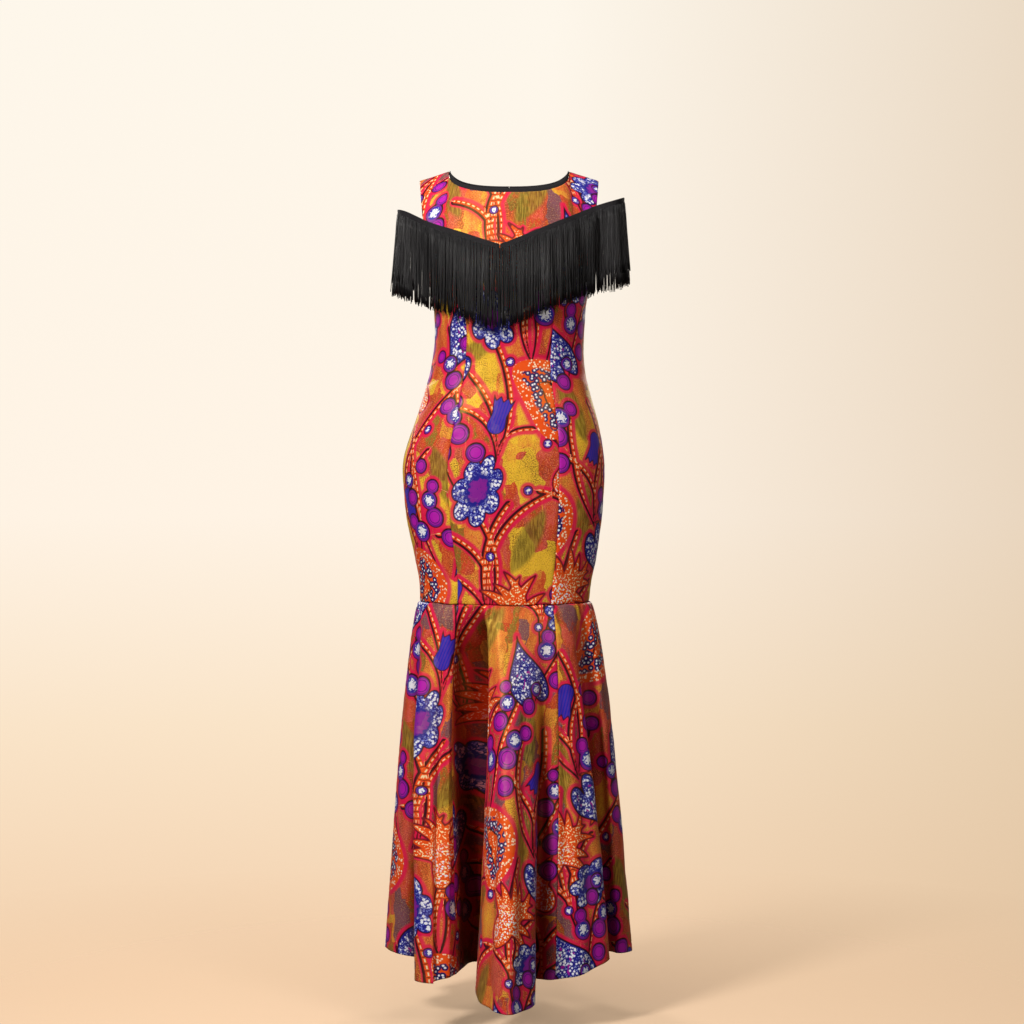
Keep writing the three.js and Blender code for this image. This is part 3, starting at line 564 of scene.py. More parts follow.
    def add_stem(self, foot, head, bow, wide):
        """A stem on a bowed line, thin at its foot and a little thinner again at its head."""
        foot, head = np.array(foot), np.array(head)
        mid = (foot + head) / 2
        way = (head - foot) / np.linalg.norm(head - foot)
        bow = mid + np.array([-way[1], way[0]]) * bow * 2
        t = np.linspace(0, 1, 30)[:, None]
        line = (1 - t) ** 2 * foot + 2 * t * (1 - t) * bow + t**2 * head - mid
        gone = along(line, 0)
        px, py = wrapped(self.x, self.y, *mid)
        near = np.hypot(px, py) < np.abs(line).max() * 1.5 + FAR / 3
        px, py = px[near], py[near]
        least = np.full(px.shape, 1e9)
        place, side = np.zeros(px.shape), np.zeros(px.shape)
        for start, end, gone_start, gone_end in zip(line[:-1], line[1:], gone[:-1], gone[1:]):
            distance, k = from_segment(px, py, start, end)
            closer = distance < least
            least = np.where(closer, distance, least)
            place = np.where(closer, mix(gone_start, gone_end, k), place)
            (ax, ay), (ex, ey) = start, end - start
            side = np.where(closer, np.sign(ex * (py - ay) - ey * (px - ax)), side)
        half = wide * mix(FOOT_WIDTH, 1, smooth(0, FOOT_LENGTH, place)) * (1 - 0.25 * place / gone[-1])
        self.keep("stem", near, least - half, {"stem_s": place, "stem_x": side * least / half})

    def at(self, u, v):
        """Every field at the cloth's places u and v, blended between the cells."""
        gx, gy = u / CELL, v / CELL
        x0, y0 = np.floor(gx), np.floor(gy)
        kx, ky = gx - x0, gy - y0
        x0, y0 = x0.astype(int) % self.columns, y0.astype(int) % self.rows
        x1, y1 = (x0 + 1) % self.columns, (y0 + 1) % self.rows
        return {
            name: mix(mix(f[y0, x0], f[y0, x1], kx), mix(f[y1, x0], f[y1, x1], kx), ky)
            for name, f in self.fields.items()
        }


repeat = Repeat()


# ---------- Cut pieces of cloth ----------
CLOTH = 0.6  # thickness of the printed cotton
TUBE_LEVELS = 14
YOKE_LEVELS = 8
SIDE_TOP = 1.48
GORE_DEG = 29.7
SEAM_ROWS = np.concatenate([
    np.arange(TUBE_LEVELS) / TUBE_LEVELS, 1 + np.arange(YOKE_LEVELS + 1) / YOKE_LEVELS,
])

# Soft troughs and ridges of the fitted body. turn is in degrees from level, towards the
# upper right, and depth is outward, so that a trough is negative.
CREASES = table(
    "half x z long wide turn depth",
    ("front", -104, -352, 42, 7, 24, -2.0),
    ("front", -112, -384, 50, 9, 34, -1.6),
    ("front", 92, -340, 38, 7, -20, -1.8),
    ("front", 104, -378, 46, 9, -36, -1.5),
    ("front", -8, -372, 60, 11, 4, -1.2),
    ("front", -118, -470, 60, 12, 52, 1.6),
    ("front", 112, -500, 66, 13, -58, 1.4),
    ("front", -60, -640, 95, 15, 82, -2.2),
    ("front", 52, -632, 100, 16, 97, -2.0),
    ("front", 2, -668, 78, 14, 88, -2.6),
    ("front", -104, -712, 46, 9, 64, -1.8),
    ("front", 96, -706, 50, 9, 118, -1.7),
    ("front", -92, -268, 34, 8, -38, -1.6),
    ("front", 88, -262, 32, 8, 42, -1.5),
    ("back", -88, -330, 52, 8, 12, -2.2),
    ("back", 84, -338, 48, 8, -16, -2.0),
    ("back", 46, -366, 44, 9, 8, -1.6),
    ("back", -40, -300, 40, 8, -10, -1.6),
    ("back", -70, -600, 74, 14, 72, -1.8),
    ("back", 76, -612, 82, 14, 108, -1.9),
    ("back", 8, -690, 64, 12, 90, -2.0),
)

# Folds of the flounce between its main flutes. top_deg and deg are the places at the seam and at the
# hem. A fold grows from start to full, as shares of the way down, and keeps the share hem at the hem.
FOLDS = table(
    "top_deg deg start full hem wide depth",
    (-76, -73, 0.14, 0.4, 1.0, 3.0, -7),
    (-60, -61, 0.03, 0.4, 0.8, 4.5, 12),
    (-40, -44, 0.04, 0.35, 1.0, 7.5, -17),
    (-52, -53, 0.15, 0.6, 1.0, 2.0, -4),
    (-33, -36, 0.12, 0.5, 1.0, 2.0, 5),
    (-25, -22, 0.0, 0.14, 0.45, 7.0, -22),
    (-15.5, -15.5, 0.0, 0.08, 0.5, 2.6, -13),
    (-11.5, -11.5, 0.0, 0.05, 0.5, 2.0, 6),
    (-4, -4, 0.2, 0.7, 1.0, 1.7, -6),
    (9, 7, 0.12, 0.6, 1.0, 2.2, -7),
    (21, 21, 0.05, 0.4, 0.8, 3.0, -5),
    (32, 33, 0.1, 0.5, 1.0, 2.2, -5),
    (40, 41, 0.05, 0.5, 1.0, 2.2, -5),
    (47, 55, 0.02, 0.18, 0.6, 4.4, -16),
    (64, 64, 0.15, 0.5, 1.0, 3.0, -5),
    (114, 112, 0.1, 0.5, 1.0, 3.0, -6),
    (136, 136, 0.0, 0.14, 0.5, 4.5, -10),
    (172, 174, 0.1, 0.5, 1.0, 2.8, -6),
    (190, 188, 0.12, 0.6, 1.0, 2.4, -5),
    (224, 226, 0.0, 0.16, 0.5, 4.5, -11),
    (250, 248, 0.1, 0.5, 1.0, 3.0, -6),
)

# Each body panel: its half, the seams on its left and right, the level it ends at, how many columns
# and rows show its folds, where its cloth lies on the print, and what it hangs from.
SEAM, SIDE, MIDDLE = "seam", "side", "middle"
FRONT, BACK_LEFT, BACK_RIGHT = "front_centre_panel", "back_centre_left_panel", "back_centre_right_panel"
PANELS = table(
    "name half left right top columns rows print hangs_from",
    ("front_centre", "front", (SEAM, -1), (SEAM, 1), 2, 121, 361, (258, 108), [BACK_LEFT, BACK_RIGHT]),
    ("front_side_left", "front", (SIDE, -1), (SEAM, -1), SIDE_TOP, 51, 301, (80, 40), [FRONT]),
    ("front_side_right", "front", (SEAM, 1), (SIDE, 1), SIDE_TOP, 51, 301, (434, 318), [FRONT]),
    ("back_centre_left", "back", (SEAM, -1), (MIDDLE, 0), 2, 51, 281, (140, 250), [FRONT]),
    ("back_centre_right", "back", (MIDDLE, 0), (SEAM, 1), 2, 51, 281, (352, 60), [FRONT]),
    ("back_side_left", "back", (SIDE, -1), (SEAM, -1), SIDE_TOP, 41, 241, (20, 460), [BACK_LEFT]),
    ("back_side_right", "back", (SEAM, 1), (SIDE, 1), SIDE_TOP, 41, 241, (300, 380), [BACK_RIGHT]),
)
GORES = table(
    "name start end columns rows print node hangs_from",
    ("flounce_front_left", -90, -GORE_DEG, 141, 261, (190, 2130), "flounce_front", FRONT),
    ("flounce_front_middle", -GORE_DEG, GORE_DEG, 141, 261, (330, 2360), "flounce_front", FRONT),
    ("flounce_front_right", GORE_DEG, 90, 141, 261, (40, 2320), "flounce_front", FRONT),
    ("flounce_back_right", 90, 180, 151, 211, (220, 2420), "flounce_back_right", BACK_RIGHT),
    ("flounce_back_left", 180, 270, 151, 211, (400, 2610), "flounce_back_left", BACK_LEFT),
)
# The pleat's edge stands further right half way down than at the hem.
PLEAT_BOW = {"deg": -12, "wide": 8, "shift": 17}
HEM = {"fold": 14, "dent": 0.45, "dent_wide": 1.6, "lift": 0.35}
SEAM_GROOVE = {"depth": 0.9, "wide": 2.2}
PUCKER = {"height": 0.35, "wide": 9, "wave": 21, "offset": 40}
SAG = {"middle": 4, "reach_x": 150, "uneven": 1.1, "wave": 60, "offset": 300, "height": 70}
GATHERS = {"length": 34, "start": 4, "height": 1.2, "at_pleat": 4.0, "wave": 17}
BODY_RIPPLE = {"height": 0.35, "wave": 55, "slant": 0.6}
FLOUNCE_RIPPLE = {"height": 0.8, "wave": 70, "slant": 0.3, "full": 0.4}
EVEN_FALL = 0.7  # how far down a gore's columns are evenly spread
HOLLOW = {"reach_deg": 36, "spread_deg": 14, "least": 1, "full": 16}
TUBE_SHARE = {2: 0.73, SIDE_TOP: 0.8}  # the share of a panel's rows that lies below the underarm


def princess_s(half, level):
    """Where the princess seam runs: up the body, then out to the armhole."""
    low, underarm = PRINCESS_S[half], PRINCESS_UNDERARM_S[half]
    tube = mix(low, underarm, np.clip((level - 0.7) / 0.3, 0, 1) ** 2)
    yoke = mix(underarm, 1, np.clip((level - 1) / PRINCESS_TOP, 0, 1) ** 1.7)
    return np.where(level <= 1, tube, yoke)


def edge_s(half, edge, level):
    """Where a panel's edge runs: on a princess seam, a side seam or the middle."""
    kind, side = edge
    if kind == SEAM:
        return side * np.interp(level, SEAM_ROWS, princess_s(half, SEAM_ROWS))
    return np.full(level.shape, float(side))


def wobble(t, wave):
    """A smooth uneven wave from -1 to 1."""
    main = np.sin(t / wave * 6.3 + 1.7 * np.sin(t / wave * 1.9))
    return (main + 0.6 * np.sin(t / wave * 3.7 + 2)) / 1.6


def crease_depth(half, points):
    """How far the creases push each place of a body panel outward."""
    depth = 0
    for row in CREASES:
        if row["half"] != half:
            continue
        on, off = turned(points[..., 0] - row["x"], points[..., 2] - row["z"], row["turn"])
        off = off + 0.12 * on * on / row["long"]
        wide = row["wide"] * (1 + 0.35 * on / row["long"])
        ends = np.exp(-((np.abs(on) / row["long"]) ** 3))
        depth = depth + row["depth"] * ends * np.exp(-((off / np.maximum(wide, 2)) ** 2))
    return depth


def fold_depth(deg, fall):
    """How far the folds push each place of the flounce outward."""
    depth = 0
    for row in FOLDS:
        centre = mix(row["top_deg"], row["deg"], fall)
        grown = smooth(row["start"], row["full"], fall)
        grown = grown * mix(1, row["hem"], smooth(row["full"], 1, fall))
        depth = depth + row["depth"] * grown * np.exp(-(((deg - centre) / row["wide"]) ** 2))
    return depth


def hollows(deg, fall):
    """How deep each place of the flounce lies in a fold, from 0 on the ridges to 1. The material paints
    shade into the cloth by it.
    """
    ring = np.arange(-90.0, 270.0)[None, :]
    points = flounce_point(ring, fall)
    radius = np.hypot(points[..., 0], points[..., 1]) + fold_depth(ring, fall)
    steps = np.arange(-HOLLOW["reach_deg"], HOLLOW["reach_deg"] + 1)
    weights = np.exp(-((steps / HOLLOW["spread_deg"]) ** 2))
    level = sum(weight * np.roll(radius, step, 1) for step, weight in zip(steps, weights))
    level = level / weights.sum()
    deep = np.clip((level - radius - HOLLOW["least"]) / HOLLOW["full"], 0, 1)
    return np.stack([np.interp(deg[0], ring[0], row) for row in deep])


def seam_relief(from_edge, place):
    """A groove along a seam, and the slight pucker beside it."""
    groove = -SEAM_GROOVE["depth"] * np.exp(-((from_edge / SEAM_GROOVE["wide"]) ** 2))
    pucker = PUCKER["height"] * np.exp(-from_edge / PUCKER["wide"])
    return groove + pucker * wobble(place, PUCKER["wave"])


def edge_relief(u, v, width):
    """The relief at a panel's two sides and at the knee seam."""
    return seam_relief(u, v) + seam_relief(width - u, v + PUCKER["offset"]) + seam_relief(v, u)


def seam_sag(x, from_seam):
    """The knee seam dips a little at the front and the back, and isn't quite even."""
    uneven = SAG["uneven"] * wobble(x + SAG["offset"], SAG["wave"])
    dip = SAG["middle"] * (1 - (x / SAG["reach_x"]) ** 2) + uneven
    return -dip * np.exp(-from_seam / SAG["height"])


def body_panel(row):
    """A panel's points, its relief, its cloth's places, the width it was cut to and its hollows."""
    half = row["half"]
    lower = round(row["rows"] * TUBE_SHARE[row["top"]])
    upper = np.linspace(1, row["top"], row["rows"] - lower + 1)[1:]
    level = np.concatenate([np.linspace(0, 1, lower), upper])
    left, right = (edge_s(half, row[side], level) for side in ("left", "right"))
    k = np.linspace(0, 1, row["columns"])[None, :]
    s = left[:, None] * (1 - k) + right[:, None] * k
    points = body_point(half, s, level[:, None] + 0 * s)
    if half == "back":
        points = points[:, ::-1]
    u, v = along(points, 1), along(points, 0)
    points[..., 2] += seam_sag(points[..., 0], v)
    place = points[..., 0] + points[..., 2] * BODY_RIPPLE["slant"]
    ripple = BODY_RIPPLE["height"] * wobble(place, BODY_RIPPLE["wave"])
    relief = edge_relief(u, v, u[:, -1:]) + crease_depth(half, points) + ripple
    middle = row["columns"] // 2
    across = max(np.ptp(u[level < 1.25], axis=1).max(), np.ptp(points[-1, :, 0]))
    return points, relief, u - u[:, middle : middle + 1], v, across, 0 * u


def flounce_panel(row):
    """The same for a gore."""
    fine = np.linspace(row["start"], row["end"], 1200)
    reach = along(flounce_point(fine, np.full(fine.shape, EVEN_FALL))[None], 1)[0]
    deg = np.interp(np.linspace(0, reach[-1], row["columns"]), reach, fine)[None, :]
    fall = np.linspace(1, 0, row["rows"])[:, None]
    points = flounce_point(deg, fall)
    near_pleat = np.exp(-(((deg - PLEAT_BOW["deg"]) / PLEAT_BOW["wide"]) ** 2))
    points[..., 0] += PLEAT_BOW["shift"] * near_pleat * np.sin(math.pi * np.sqrt(fall))
    u, v = along(points, 1), along(points[::-1], 0)[::-1]
    width, from_hem = u[:, -1:], v[:1] - v
    ripple = FLOUNCE_RIPPLE["height"] * wobble(u + v * FLOUNCE_RIPPLE["slant"], FLOUNCE_RIPPLE["wave"])
    relief = edge_relief(u, v, width) + fold_depth(deg, fall)
    relief = relief + ripple * smooth(0, FLOUNCE_RIPPLE["full"], fall)
    points[..., 2] += seam_sag(points[..., 0], v)
    gathers = np.exp(-v / GATHERS["length"]) * (1 - np.exp(-v / GATHERS["start"]))
    gathers = gathers * (GATHERS["height"] + GATHERS["at_pleat"] * near_pleat)
    relief = relief + gathers * wobble(u, GATHERS["wave"])
    relief = relief - HEM["dent"] * np.exp(-(((from_hem - HEM["fold"]) / HEM["dent_wide"]) ** 2))
    relief = relief + HEM["lift"] * smooth(HEM["fold"], 0, from_hem)
    # The gore was cut from a ring of cloth, so its places on the print fan out.
    top, hem, drop = width[-1, 0], width[0, 0], v[:1].mean()
    turn = (hem - top) / drop
    radius = top / turn + v
    around = turn * (u / width - 0.5)
    u, v = radius * np.sin(around), -radius * np.cos(around)
    return points, relief, u, v, np.ptp(u), hollows(deg, fall)


# ---------- Meshes ----------
def new_mesh(name, vertices, faces, material):
    """An object from vertices in millimetres."""
    mesh = bpy.data.meshes.new(name)
    mesh.from_pydata((np.asarray(vertices) * METRE).tolist(), [], faces)
    mesh.polygons.foreach_set("use_smooth", [True] * len(mesh.polygons))
    mesh.materials.append(material)
    mesh.validate()
    mesh.update()
    piece = bpy.data.objects.new(name, mesh)
    bpy.context.scene.collection.objects.link(piece)
    return piece


def quads(rows, columns, start=0, flip=False):
    """The faces of a grid of vertices, numbered from start."""
    i, j = np.mgrid[0 : rows - 1, 0 : columns - 1]
    a = start + i * columns + j
    corners = [a, a + 1, a + columns + 1, a + columns]
    if flip:
        corners.reverse()
    return np.stack(corners, -1).reshape(-1, 4).tolist()


def shell(name, outer, normals, thickness, material, fields=None):
    """A closed thin shell. Its outer face is the grid, and its inner face has half as many rows."""
    rows, columns = outer.shape[:2]
    inner = (outer - normals * thickness)[::2, ::2]
    in_rows, in_columns = inner.shape[:2]
    count = rows * columns
    vertices = np.concatenate([outer.reshape(-1, 3), inner.reshape(-1, 3)])
    faces = quads(rows, columns) + quads(in_rows, in_columns, count, flip=True)
    out = np.arange(count).reshape(rows, columns)
    back = count + np.arange(in_rows * in_columns).reshape(in_rows, in_columns)
    borders = (
        (out[0], back[0], True),
        (out[-1], back[-1], False),
        (out[:, 0], back[:, 0], False),
        (out[:, -1], back[:, -1], True),
    )
    for edge, under, flipped in borders:
        for k in range(len(under) - 1):
            a, b, c = (int(edge[2 * k + n]) for n in range(3))
            p, q = int(under[k]), int(under[k + 1])
            trio = [(a, b, p), (b, q, p), (b, c, q)]
            faces += [face[::-1] for face in trio] if flipped else trio
    piece = new_mesh(name, vertices, faces, material)
    for field, values in (fields or {}).items():
        both = values.reshape(rows, columns, -1).astype(np.float32)
        under = both[::2, ::2].reshape(in_rows * in_columns, -1)
        data = np.concatenate([both.reshape(count, -1), under])
        kind = "FLOAT" if data.shape[1] == 1 else "FLOAT_VECTOR"
        layer = piece.data.attributes.new(field, kind, "POINT")
        layer.data.foreach_set("value" if kind == "FLOAT" else "vector", data.ravel())
    return piece


def printed_piece(name, panel, row, material):
    """A panel in its print, with its flat size and its area."""
    points, relief, u, v, across, hollow = panel(row)
    normals = grid_normals(points)
    shift_u, shift_v = row["print"]
    u, v = u + shift_u, v + shift_v
    fields = repeat.at(u, v)
    fields["cloth"] = np.stack([u, v, 0 * u], -1)
    # How deep the cloth lies in a fold, for the painted shade in the flounce's hollows.
    fields["hollow"] = hollow
    outside = points + normals * relief[..., None]
    piece = shell(name, outside, normals, CLOTH, material, fields)
    return piece, (float(across) * METRE, float(np.ptp(v)) * METRE), area_of(outside)


# ---------- Materials ----------
def rgb(red, green, blue):
    """A colour as the eye reads it from 0 to 255, made linear."""
    shares = [c / 255 for c in (red, green, blue)]
    return (*[c / 12.92 if c <= 0.04 else ((c + 0.055) / 1.055) ** 2.4 for c in shares], 1)


class Shader:
    """A material's nodes, each made by one short call."""

    def __init__(self, name):
        self.material = bpy.data.materials.new(name)
        self.material.use_nodes = True
        self.tree = self.material.node_tree
        self.tree.nodes.clear()

    def node(self, kind, inputs=None, **settings):
        made = self.tree.nodes.new(f"ShaderNode{kind}")
        for key, value in settings.items():
            setattr(made, key, value)
        for key, value in (inputs or {}).items():
            self.put(made.inputs[key], value)
        return made

    def put(self, socket, value):
        if isinstance(value, bpy.types.NodeSocket):
            self.tree.links.new(value, socket)
        else:
            socket.default_value = value

    def field(self, name, output="Fac"):
        return self.node("Attribute", attribute_name=name).outputs[output]

    def math(self, operation, *values, clamp=False):
        made = self.node("Math", operation=operation, use_clamp=clamp)
        for i, value in enumerate(values):
            self.put(made.inputs[i], value)
        return made.outputs[0]

    def span(self, value, low, high, start=0.0, end=1.0):
        inputs = {"Value": value, "From Min": low, "From Max": high, "To Min": start, "To Max": end}
        return self.node("MapRange", inputs).outputs[0]

    def inside(self, distance, reach=0.0, soft=0.7):
        return self.span(distance, reach - soft, reach + soft, 1.0, 0.0)

    def both(self, first, *others):
        for value in others:
            first = self.math("MULTIPLY", first, value)
        return first

    def uneven(self, value, amount, noise):
        """The value with a noise of that height added, half of it down and half of it up."""
        return self.math("ADD", value, self.math("MULTIPLY_ADD", noise, amount, -amount / 2))

    def paint(self, below, colour, mask, blend="MIX"):
        made = self.node("Mix", data_type="RGBA", blend_type=blend)
        for index, value in ((0, mask), (6, below), (7, colour)):
            self.put(made.inputs[index], value)
        return made.outputs[2]

    def stretched(self, place, x, y):
        inputs = {"Vector": place, "Scale": (x, y, 1)}
        return self.node("Mapping", inputs).outputs[0]

    def noise(self, place, scale, detail=2.0, roughness=0.5):
        inputs = {"Vector": place, "Scale": scale, "Detail": detail, "Roughness": roughness}
        return self.node("TexNoise", inputs).outputs[0]

    def streaks(self, place, x, y, detail=2.0):
        """Noise with its own scale along and across the cloth."""
        return self.noise(self.stretched(place, x, y), 1.0, detail)

    def ramp(self, value, stops):
        made = self.node("ValToRGB", {"Fac": value})
        elements = made.color_ramp.elements
        for i, (at, colour) in enumerate(stops):
            element = elements[i] if i < 2 else elements.new(at)
            element.position, element.color = at, colour
        return made.outputs[0]

    def cells(self, place, scale, dimensions="3D"):
        inputs = {"Vector": place, "Scale": scale}
        return self.node("TexVoronoi", inputs, voronoi_dimensions=dimensions).outputs[0]

    def finish(self, bump=None, **inputs):
        surface = self.node("BsdfPrincipled")
        for key, value in inputs.items():
            self.put(surface.inputs[key.replace("_", " ")], value)
        if bump:
            self.put(surface.inputs["Normal"], bump)
        output = self.node("OutputMaterial", {"Surface": surface.outputs[0]})
        output.is_active_output = True
        return self.material

    def bump(self, height, strength, distance, normal=None):
        inputs = {"Height": height, "Strength": strength, "Distance": distance}
        if normal:
            inputs["Normal"] = normal
        return self.node("Bump", inputs).outputs[0]


# The print's colours. In the paint functions a reach or a place along a stem is in millimetres on the
# cloth, a side or ratio is a share of the motif's half width, and a scale is in cells a millimetre.
NAVY, INK, WHITE = rgb(24, 30, 140), rgb(40, 6, 30), rgb(238, 238, 248)
MAGENTA, PURPLE, VIOLET = rgb(226, 16, 78), rgb(164, 16, 158), rgb(72, 40, 170)
FLAME, RED, CREAM = rgb(238, 80, 28), rgb(206, 26, 44), rgb(250, 220, 170)
OLIVE, MOSS, DUSK = rgb(128, 112, 44), rgb(98, 84, 32), rgb(124, 78, 92)
ORANGE, SALMON, RUST = rgb(228, 116, 56), rgb(216, 88, 78), rgb(204, 66, 40)
GOLD, STRAW = rgb(240, 190, 54), rgb(228, 150, 56)
# Painted shade: the colour that darkens the cloth deep in the flounce's folds.
PAINTED_FOLD_SHADE = rgb(136, 30, 48)
# Partly the print's own colours and partly painted light: the golden ground stands in for the lit sheen
# of the body, and the rusty ground for the shade on the flounce, whose cloth lies further along v.
RUST_AND_SHADE_FROM, RUST_AND_SHADE_TO = 610, 800  # where, along the cloth's v, the ground turns from golden to rusty, partly as painted light


def patches(m, place):
    """A number from 0 to 1 for each of the ground's blocky patches, which run along the cloth."""
    drift = m.node("TexNoise", {"Vector": place, "Scale": 0.03, "Detail": 2.0}).outputs[1]
    inputs = {0: drift, 1: (26, 30, 0), 2: place}
    bent = m.node("VectorMath", inputs, operation="MULTIPLY_ADD").outputs[0]
    cell = m.node(
        "TexVoronoi",
        {"Vector": m.stretched(bent, 0.030, 0.0125), "Scale": 1.0, "Randomness": 0.8},
        distance="CHEBYCHEV",
    )
    return m.node("SeparateColor", {"Color": cell.outputs["Color"]}).outputs[0]


def rust_and_shade(m, place):
    """0 where the ground is golden and 1 where it is rusty: partly the print's own colours and partly
    painted light, gold for a painted sheen on the body and rust for painted shade on the flounce.
    """
    along_bolt = m.node("SeparateXYZ", {"Vector": place}).outputs["Y"]
    return m.span(along_bolt, RUST_AND_SHADE_FROM, RUST_AND_SHADE_TO)


GROUND = (
    (0.0, GOLD), (0.26, GOLD), (0.35, STRAW), (0.44, ORANGE), (0.54, RUST), (0.62, SALMON), (0.7, RUST),
    (0.76, OLIVE), (0.84, RUST), (0.93, DUSK),
)


def ground(m, place):
    """The ground of the cloth: ragged gold, orange and dull patches under smoke and a fine grain."""
    # Partly print and partly painted light: gold for a painted sheen on the body, rust for painted
    # shade on the flounce.
    patch = m.math("ADD", patches(m, place), m.both(rust_and_shade(m, place), 0.42))
    shade = m.streaks(place, 0.05, 0.016, 1.0)
    patch = m.uneven(patch, 0.24, m.streaks(place, 0.25, 0.12))
    colour = m.ramp(m.both(m.uneven(patch, 0.4, shade), 0.75), GROUND)
    grain = m.noise(place, 0.5, 1.0)
    smoke = m.span(m.streaks(place, 0.03, 0.016), 0.46, 0.66)
    dark = m.both(m.span(grain, 0.4, 0.66), smoke)
    colour = m.paint(colour, rgb(74, 56, 34), m.both(dark, 0.85))
    colour = m.paint(colour, rgb(150, 36, 40), m.both(m.span(grain, 0.54, 0.68), 0.5))
    return m.paint(colour, rgb(252, 200, 100), m.both(m.span(grain, 0.42, 0.3), 0.35))


def specks(m, place, scale, size):
    """Round specks scattered over the cloth."""
    return m.inside(m.cells(place, scale), size, 0.05)


def paint_halos(m, colour):
    """The magenta that the wax let through round each motif."""
    reaches = {"leaf": 9, "flower": 8, "pod": 11, "bud": 8, "berry": 8, "stem": 7, "plume": 6}
    for name, reach in reaches.items():
        glow = m.span(m.field(f"{name}_d"), reach, reach * 0.55)
        colour = m.paint(colour, MAGENTA, m.both(glow, 0.92))
    return colour


def paint_olives(m, place, colour):
    distance = m.field("olive_d")
    veins = m.streaks(place, 0.5, 0.05, 1.0)
    leaf = m.paint(MOSS, rgb(162, 138, 52), m.span(veins, 0.42, 0.62))
    return m.paint(colour, leaf, m.both(m.inside(distance, 0, 3.5), 0.8))


def paint_stems(m, colour):
    distance, side, gone = m.field("stem_d"), m.field("stem_x"), m.field("stem_s")
    colour = m.paint(colour, INK, m.both(m.inside(distance, 2.4), m.span(side, -0.1, 0.25)))
    colour = m.paint(colour, RED, m.inside(distance, -0.6))
    core = m.inside(m.math("ABSOLUTE", m.math("ADD", side, 0.12)), 0.62, 0.1)
    beat = m.math("SINE", m.math("MULTIPLY", gone, 0.56))
    shown = m.span(gone, 30, 60)
    colour = m.paint(colour, FLAME, m.both(core, shown))
    dash = m.inside(m.math("ABSOLUTE", m.math("ADD", side, 0.22)), 0.2, 0.1)
    colour = m.paint(colour, CREAM, m.both(dash, shown, m.span(beat, -0.2, 0.2)))
    colour = m.paint(colour, INK, m.both(core, m.span(beat, -0.86, -0.95), shown, 0.8))
    edge = m.both(m.span(side, 0.52, 0.66), m.inside(distance, 0))
    return m.paint(colour, INK, m.both(edge, 0.85))


def paint_plumes(m, place, colour):
    distance, gone = m.field("plume_d"), m.field("plume_s")
    colour = m.paint(colour, rgb(110, 8, 40), m.inside(distance, 1.8))
    colour = m.paint(colour, FLAME, m.inside(distance, -0.8))
    flecks = m.span(m.streaks(place, 0.32, 0.32, 0.0), 0.58, 0.64)
    mark = m.both(m.inside(distance, -2.4, 0.5), flecks)
    colour = m.paint(colour, rgb(255, 232, 176), mark)
    heart = m.both(m.inside(gone, 40, 8), m.inside(distance, -2))
    return m.paint(colour, WHITE, m.both(heart, specks(m, place, 0.22, 0.34)))


def paint_leaves(m, place, colour):
    distance = m.field("leaf_d")
    colour = m.paint(colour, INK, m.inside(distance, 1.0))
    within = m.inside(distance, -3.5, 1.2)
    leaf = m.paint(NAVY, rgb(150, 160, 226), m.both(specks(m, place, 0.34, 0.34), within))
    leaf = m.paint(leaf, WHITE, m.both(specks(m, place, 0.185, 0.38), within))
    wisp = m.span(m.streaks(place, 0.2, 0.1, 0.0), 0.68, 0.7)
    leaf = m.paint(leaf, PURPLE, m.both(wisp, m.inside(distance, -12)))
    return m.paint(colour, leaf, m.inside(distance, -1.6))


def paint_flowers(m, place, colour):
    distance, ratio, ray = m.field("flower_d"), m.field("flower_r"), m.field("flower_a")
    colour = m.paint(colour, INK, m.inside(distance, 0.6))
    broken = m.uneven(ray, 4.0, m.noise(place, 0.16))
    within = m.both(m.inside(distance, -2.4), m.span(ratio, 0.46, 0.62))
    petals = m.paint(NAVY, rgb(120, 132, 216), m.both(specks(m, place, 0.36, 0.4), within))
    dense = m.span(broken, -0.9, 0.1)
    petals = m.paint(petals, WHITE, m.both(specks(m, place, 0.2, 0.46), dense, within))
    ragged = m.uneven(ratio, 0.5, m.noise(place, 0.12))
    petals = m.paint(petals, rgb(134, 30, 150), m.inside(ragged, 0.38, 0.04))
    petals = m.paint(petals, NAVY, m.both(m.inside(ragged, 0.34), specks(m, place, 0.2, 0.2), 0.8))
    return m.paint(colour, petals, m.inside(distance, -1.2))


def paint_pods(m, place, colour):
    distance = m.field("pod_d")
    rind = m.paint(FLAME, rgb(255, 226, 190), specks(m, place, 0.2, 0.34))
    colour = m.paint(colour, rind, m.inside(distance, 0.0))
    ragged = m.uneven(distance, 16, m.noise(place, 0.06))
    bead = m.cells(place, 0.115, "2D")
    beads = m.paint(FLAME, rgb(20, 22, 96), m.inside(bead, 0.56, 0.06))
    beads = m.paint(beads, WHITE, m.inside(bead, 0.2, 0.06))
    colour = m.paint(colour, beads, m.inside(ragged, -17, 1.5))
    core = m.paint(FLAME, CREAM, specks(m, place, 0.2, 0.3))
    colour = m.paint(colour, INK, m.inside(ragged, -36.5, 1.0))
    return m.paint(colour, core, m.inside(ragged, -39, 1.0))


def paint_buds(m, colour):
    distance = m.field("bud_d")
    stripe = m.math("SINE", m.math("MULTIPLY", m.field("bud_x"), 1.25))
    bud = m.paint(VIOLET, rgb(30, 36, 176), m.span(stripe, -0.1, 0.5))
    colour = m.paint(colour, INK, m.inside(distance, 0.6))
    return m.paint(colour, bud, m.inside(distance, -1.0))


